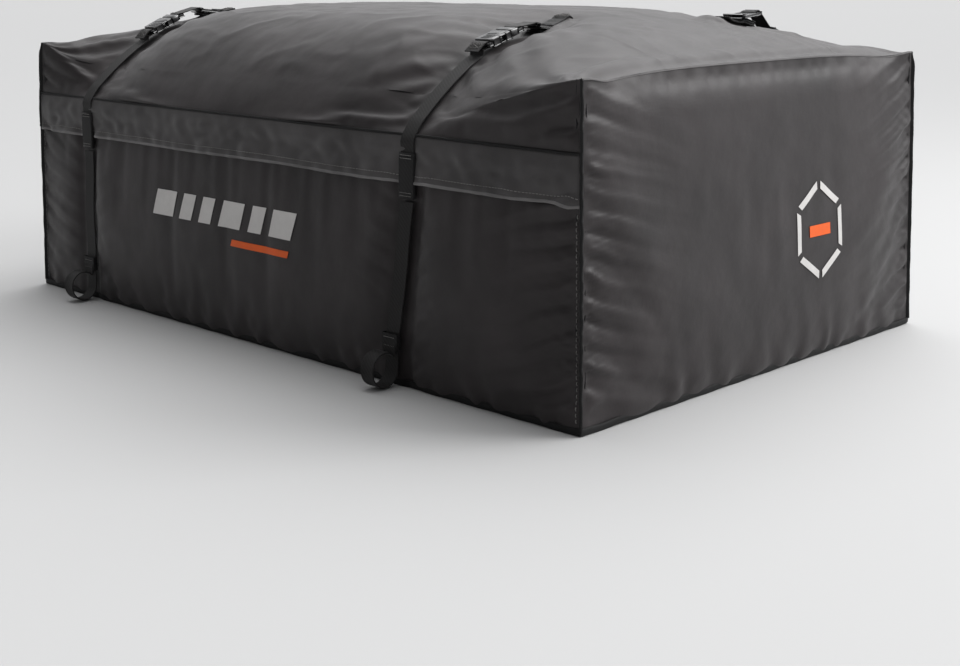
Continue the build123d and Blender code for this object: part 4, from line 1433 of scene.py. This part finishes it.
def build_rail_strap(name):
    """The hanging strap: down the wall, through the choke, round the rail and back."""
    fact = STRAPS[name]
    side = fact["side"]
    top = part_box("rail_strap_" + name)[1].z
    foot_x = float(strap_x(fact, 0.0))
    ring_y, ring_z, radius = RAIL_LOOP
    points = []
    for z in np.linspace(top, 0.082, 9):
        share = (top - z) / (top - 0.05)
        y = float(wall_y(top)) + 0.0055 + (0.4065 - float(wall_y(top)) - 0.0055) * share
        wave = 0.0009 * math.sin(share * 9.0 + fact["x"] * 20)
        points.append((float(strap_x(fact, z)), side * (y + wave), z))
    for z in (0.066, 0.050, 0.037):
        points.append((foot_x, side * (0.4068), z))
    for degrees in range(195, 510, 15):
        angle = math.radians(degrees)
        shrink = 1 - 0.03 * math.cos(2 * angle)
        y, z = radius * shrink * math.cos(angle), radius * shrink * math.sin(angle)
        points.append((foot_x, side * (ring_y + y), ring_z + z))
    points.append((foot_x, side * 0.4118, 0.0565))
    points.append((foot_x, side * 0.4098, 0.070))
    path = smooth_path(points, 2)
    body = "strap_" + name
    label = "strap_down_" + name
    band(label, path, strap_outward(path, side), body, "rail_strap_" + name)
    choke = Pile()
    ring = mirrored([(-0.0145, 0.4046), (-0.0152, 0.4078), (-0.0145, 0.4118)])
    rows = []
    for z, grow in ((0.051, 0.97), (0.053, 1.0), (0.0715, 1.0), (0.0735, 0.97)):
        rows.append([(foot_x + dx * grow, side * (0.4082 + (y - 0.4082) * grow), z) for dx, y in ring])
    grid = np.array(rows)
    grid = np.concatenate([grid, grid[:, :1]], axis=1)
    choke.grid(grid, flip=side > 0)
    finish_piece(choke.piece("choke_" + name, "keeper"), body, "webbing")
    thread = Pile()
    for dz in (0.0565, 0.068):
        line = [(foot_x + dx, side * 0.4121, dz) for dx in np.linspace(-0.012, 0.012, 9)]
        stitch_row(thread, line, (0, side, 0), 0.003, 0.0021, 0.0004)
    finish_piece(thread.piece("choke_stitches_" + name, "thread"), body, "webbing")


def build_keepers():
    """Webbing sleeves sewn across the flap over each strap, in one node."""
    pile, thread = Pile(), Pile()
    for fact in STRAPS.values():
        side = fact["side"]
        rows = []
        half = WEB_WIDTH / 2 + 0.0021
        heights = np.linspace(0.2575, 0.3165, 9)
        for z in heights:
            w = float(wall_y(z))
            swell = 0.0004 * math.sin((z - 0.257) / 0.0595 * math.pi)
            section = [(-half, w + 0.0043), (-half, w + 0.0070), (-half + 0.0012, w + 0.0083 + swell)]
            section = section + [(0, w + 0.0087 + swell)] + mirrored(section)[3:]
            rows.append([(fact["x"] + dx, side * y, z) for dx, y in section])
        grid = np.array(rows)
        pile.grid(grid, flip=side > 0)
        inner = grid.copy()
        inner[..., 1] -= side * 0.0011
        inner[..., 0] = fact["x"] + (inner[..., 0] - fact["x"]) * 0.93
        pile.grid(inner, flip=side < 0)
        for k in (0, -1):
            pile.grid(np.stack([grid[k], inner[k]]))
        for z in (0.2605, 0.2645, 0.3095, 0.3135):
            w = float(wall_y(z)) + 0.0089
            line = [(fact["x"] + dx, side * w, z) for dx in np.linspace(-0.0125, 0.0125, 9)]
            stitch_row(thread, line, (0, side, 0), 0.0031, 0.0021, 0.0004)
    finish_piece(pile.piece("keepers", "keeper", weld=0.0001), "lid", "webbing", "strap_keepers")
    finish_piece(thread.piece("keeper_stitches", "thread"), "lid", "webbing")


def build_tail(name, local, lock):
    """Short webbing from the plug to the adjuster, folded round both bars."""
    around_plug = local.side_line(TAIL_FOLD)
    to_lock = local.side_line(TAIL_RUN) + lock.side_line(TAIL_END)
    for part, points, nodes in (("a", around_plug, ()), ("b", to_lock, ("tail_web_" + name,))):
        path = smooth_path(points, 4)
        out = strap_outward(path, -STRAPS[name]["side"])
        label = "tail_" + part + "_" + name
        band(label, path, out, "latch_" + name, *nodes, width=WEB_WIDTH * 0.98, thickness=WEB * 0.9)


def top_height(x, y):
    """Height of the lid skin at a place, read from the finished grid."""
    grid = FINE["top"]
    near = np.argmin((grid[..., 0] - x) ** 2 + (grid[..., 1] - y) ** 2)
    return float(grid.reshape(-1, 3)[near][2])


def anchor_lift(name, y):
    """How far the folded anchor webbing stands off the lid: it fills the space under the adjuster plate."""
    plate = lock_local(name)
    inward = abs(plate.origin[1]) - y
    skin = top_height(STRAPS[name]["x"], STRAPS[name]["side"] * y)
    space = plate.origin[2] + plate.along[2] * inward - 0.0020 - skin
    flat = float(smoothstep(0.034, 0.048, inward))
    return skin, min(max(space, 0.0014), 0.009) * (1 - flat) + 0.0014 * flat


def build_anchors():
    """Webbing folded on itself under each adjuster plate and sewn flat to the lid, with a box stitch."""
    pile, thread = Pile(), Pile()
    for name, fact in STRAPS.items():
        side = fact["side"]
        low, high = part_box("ladder_lock_" + name)
        outer = max(abs(low.y), abs(high.y)) - 0.006
        for share in (1.0, 0.66, 0.33):
            points = []
            for y in np.linspace(outer, outer - 0.070, 13):
                skin, lift = anchor_lift(name, y)
                points.append((fact["x"], side * y, skin + max(lift * share, 0.0006)))
            path = smooth_path(points, 2)
            out = strap_outward(path, side)
            if share == 1.0:
                run = path[-3] - path[-5]
                seat, face, run = path[-4], out[-4], run / np.linalg.norm(run)
            pile.take(*sweep(path, out, web_profile(WEB_WIDTH, WEB), side=(1, 0, 0)))
        box_stitch(thread, seat + face * 0.0012, run, (1, 0, 0), face, 0.013, 0.018)
    finish_piece(pile.piece("anchor_webs", "keeper"), "lid", "webbing", "lid_anchors")
    finish_piece(thread.piece("anchor_stitches", "thread"), "lid", "webbing")


for strap_name in STRAP_NAMES:
    buckle = buckle_local(strap_name)
    build_socket(strap_name, buckle)
    build_plug(strap_name, buckle)
    build_prong(strap_name, buckle, 1, "a")
    build_prong(strap_name, buckle, -1, "b")
    plate = build_lock(strap_name)
    build_shoulder(strap_name, buckle)
    build_rail_strap(strap_name)
    build_tail(strap_name, buckle, plate)
build_keepers()
build_anchors()

# ---------------------------------------------------------------- generic printed marks


def print_quad(pile, side, corners, columns, rows, lift=0.0009):
    """A printed four-sided patch that follows the skin; corners are (run, height), anticlockwise."""
    a, b, c, d = [np.array(p, float) for p in corners]
    grid = np.zeros((rows + 1, columns + 1, 3))
    for r in range(rows + 1):
        for k in range(columns + 1):
            u, v = k / columns, r / rows
            point = a * (1 - u) * (1 - v) + b * u * (1 - v) + c * u * v + d * (1 - u) * v
            grid[r, k] = skin_at(side, point[0], point[1], lift)
    pile.grid(grid)


def build_side_mark():
    """Plain slanted bars and a thin orange rule on the right side."""
    pale, orange = Pile(), Pile()
    left, middle, tall, lean = -0.255, 0.192, 0.040, 0.012
    widths = (0.052, 0.030, 0.030, 0.052, 0.030, 0.052)
    x = left
    for width in widths:
        low, high = middle - tall / 2, middle + tall / 2
        bar = [(x, low), (x + width, low), (x + width + lean, high), (x + lean, high)]
        print_quad(pale, "right", bar, 12, 10)
        x += width + 0.019
    corners = ((0.20, 0.146), (0.335, 0.146), (0.338, 0.156), (0.203, 0.156))
    rule = [(left + dx, height) for dx, height in corners]
    print_quad(orange, "right", rule, 34, 3)
    finish_piece(pale.piece("side_mark_pale", "pale_print"), "tub", "shell_fabric")
    finish_piece(orange.piece("side_mark_orange", "orange_print"), "tub", "shell_fabric")


def build_front_mark():
    """A plain ring of six bars with an orange bar inside, on the front."""
    pale, orange = Pile(), Pile()
    centre = np.array([0.112, 0.190])
    outer, inner = 0.062, 0.052
    for k in range(6):
        start, end = math.radians(60 * k + 34), math.radians(60 * k + 86)
        ring = []
        for radius, angle in ((inner, start), (outer, start), (outer, end), (inner, end)):
            ring.append(centre + radius * np.array([math.cos(angle), math.sin(angle) * 1.12]))
        print_quad(pale, "front", ring, 6, 14)
    block = [centre + p for p in ((-0.026, -0.008), (0.026, -0.008), (0.026, 0.008), (-0.026, 0.008))]
    print_quad(orange, "front", block, 14, 5)
    finish_piece(pale.piece("front_mark_pale", "pale_print"), "tub", "shell_fabric")
    finish_piece(orange.piece("front_mark_orange", "orange_print"), "tub", "shell_fabric")


build_side_mark()
build_front_mark()
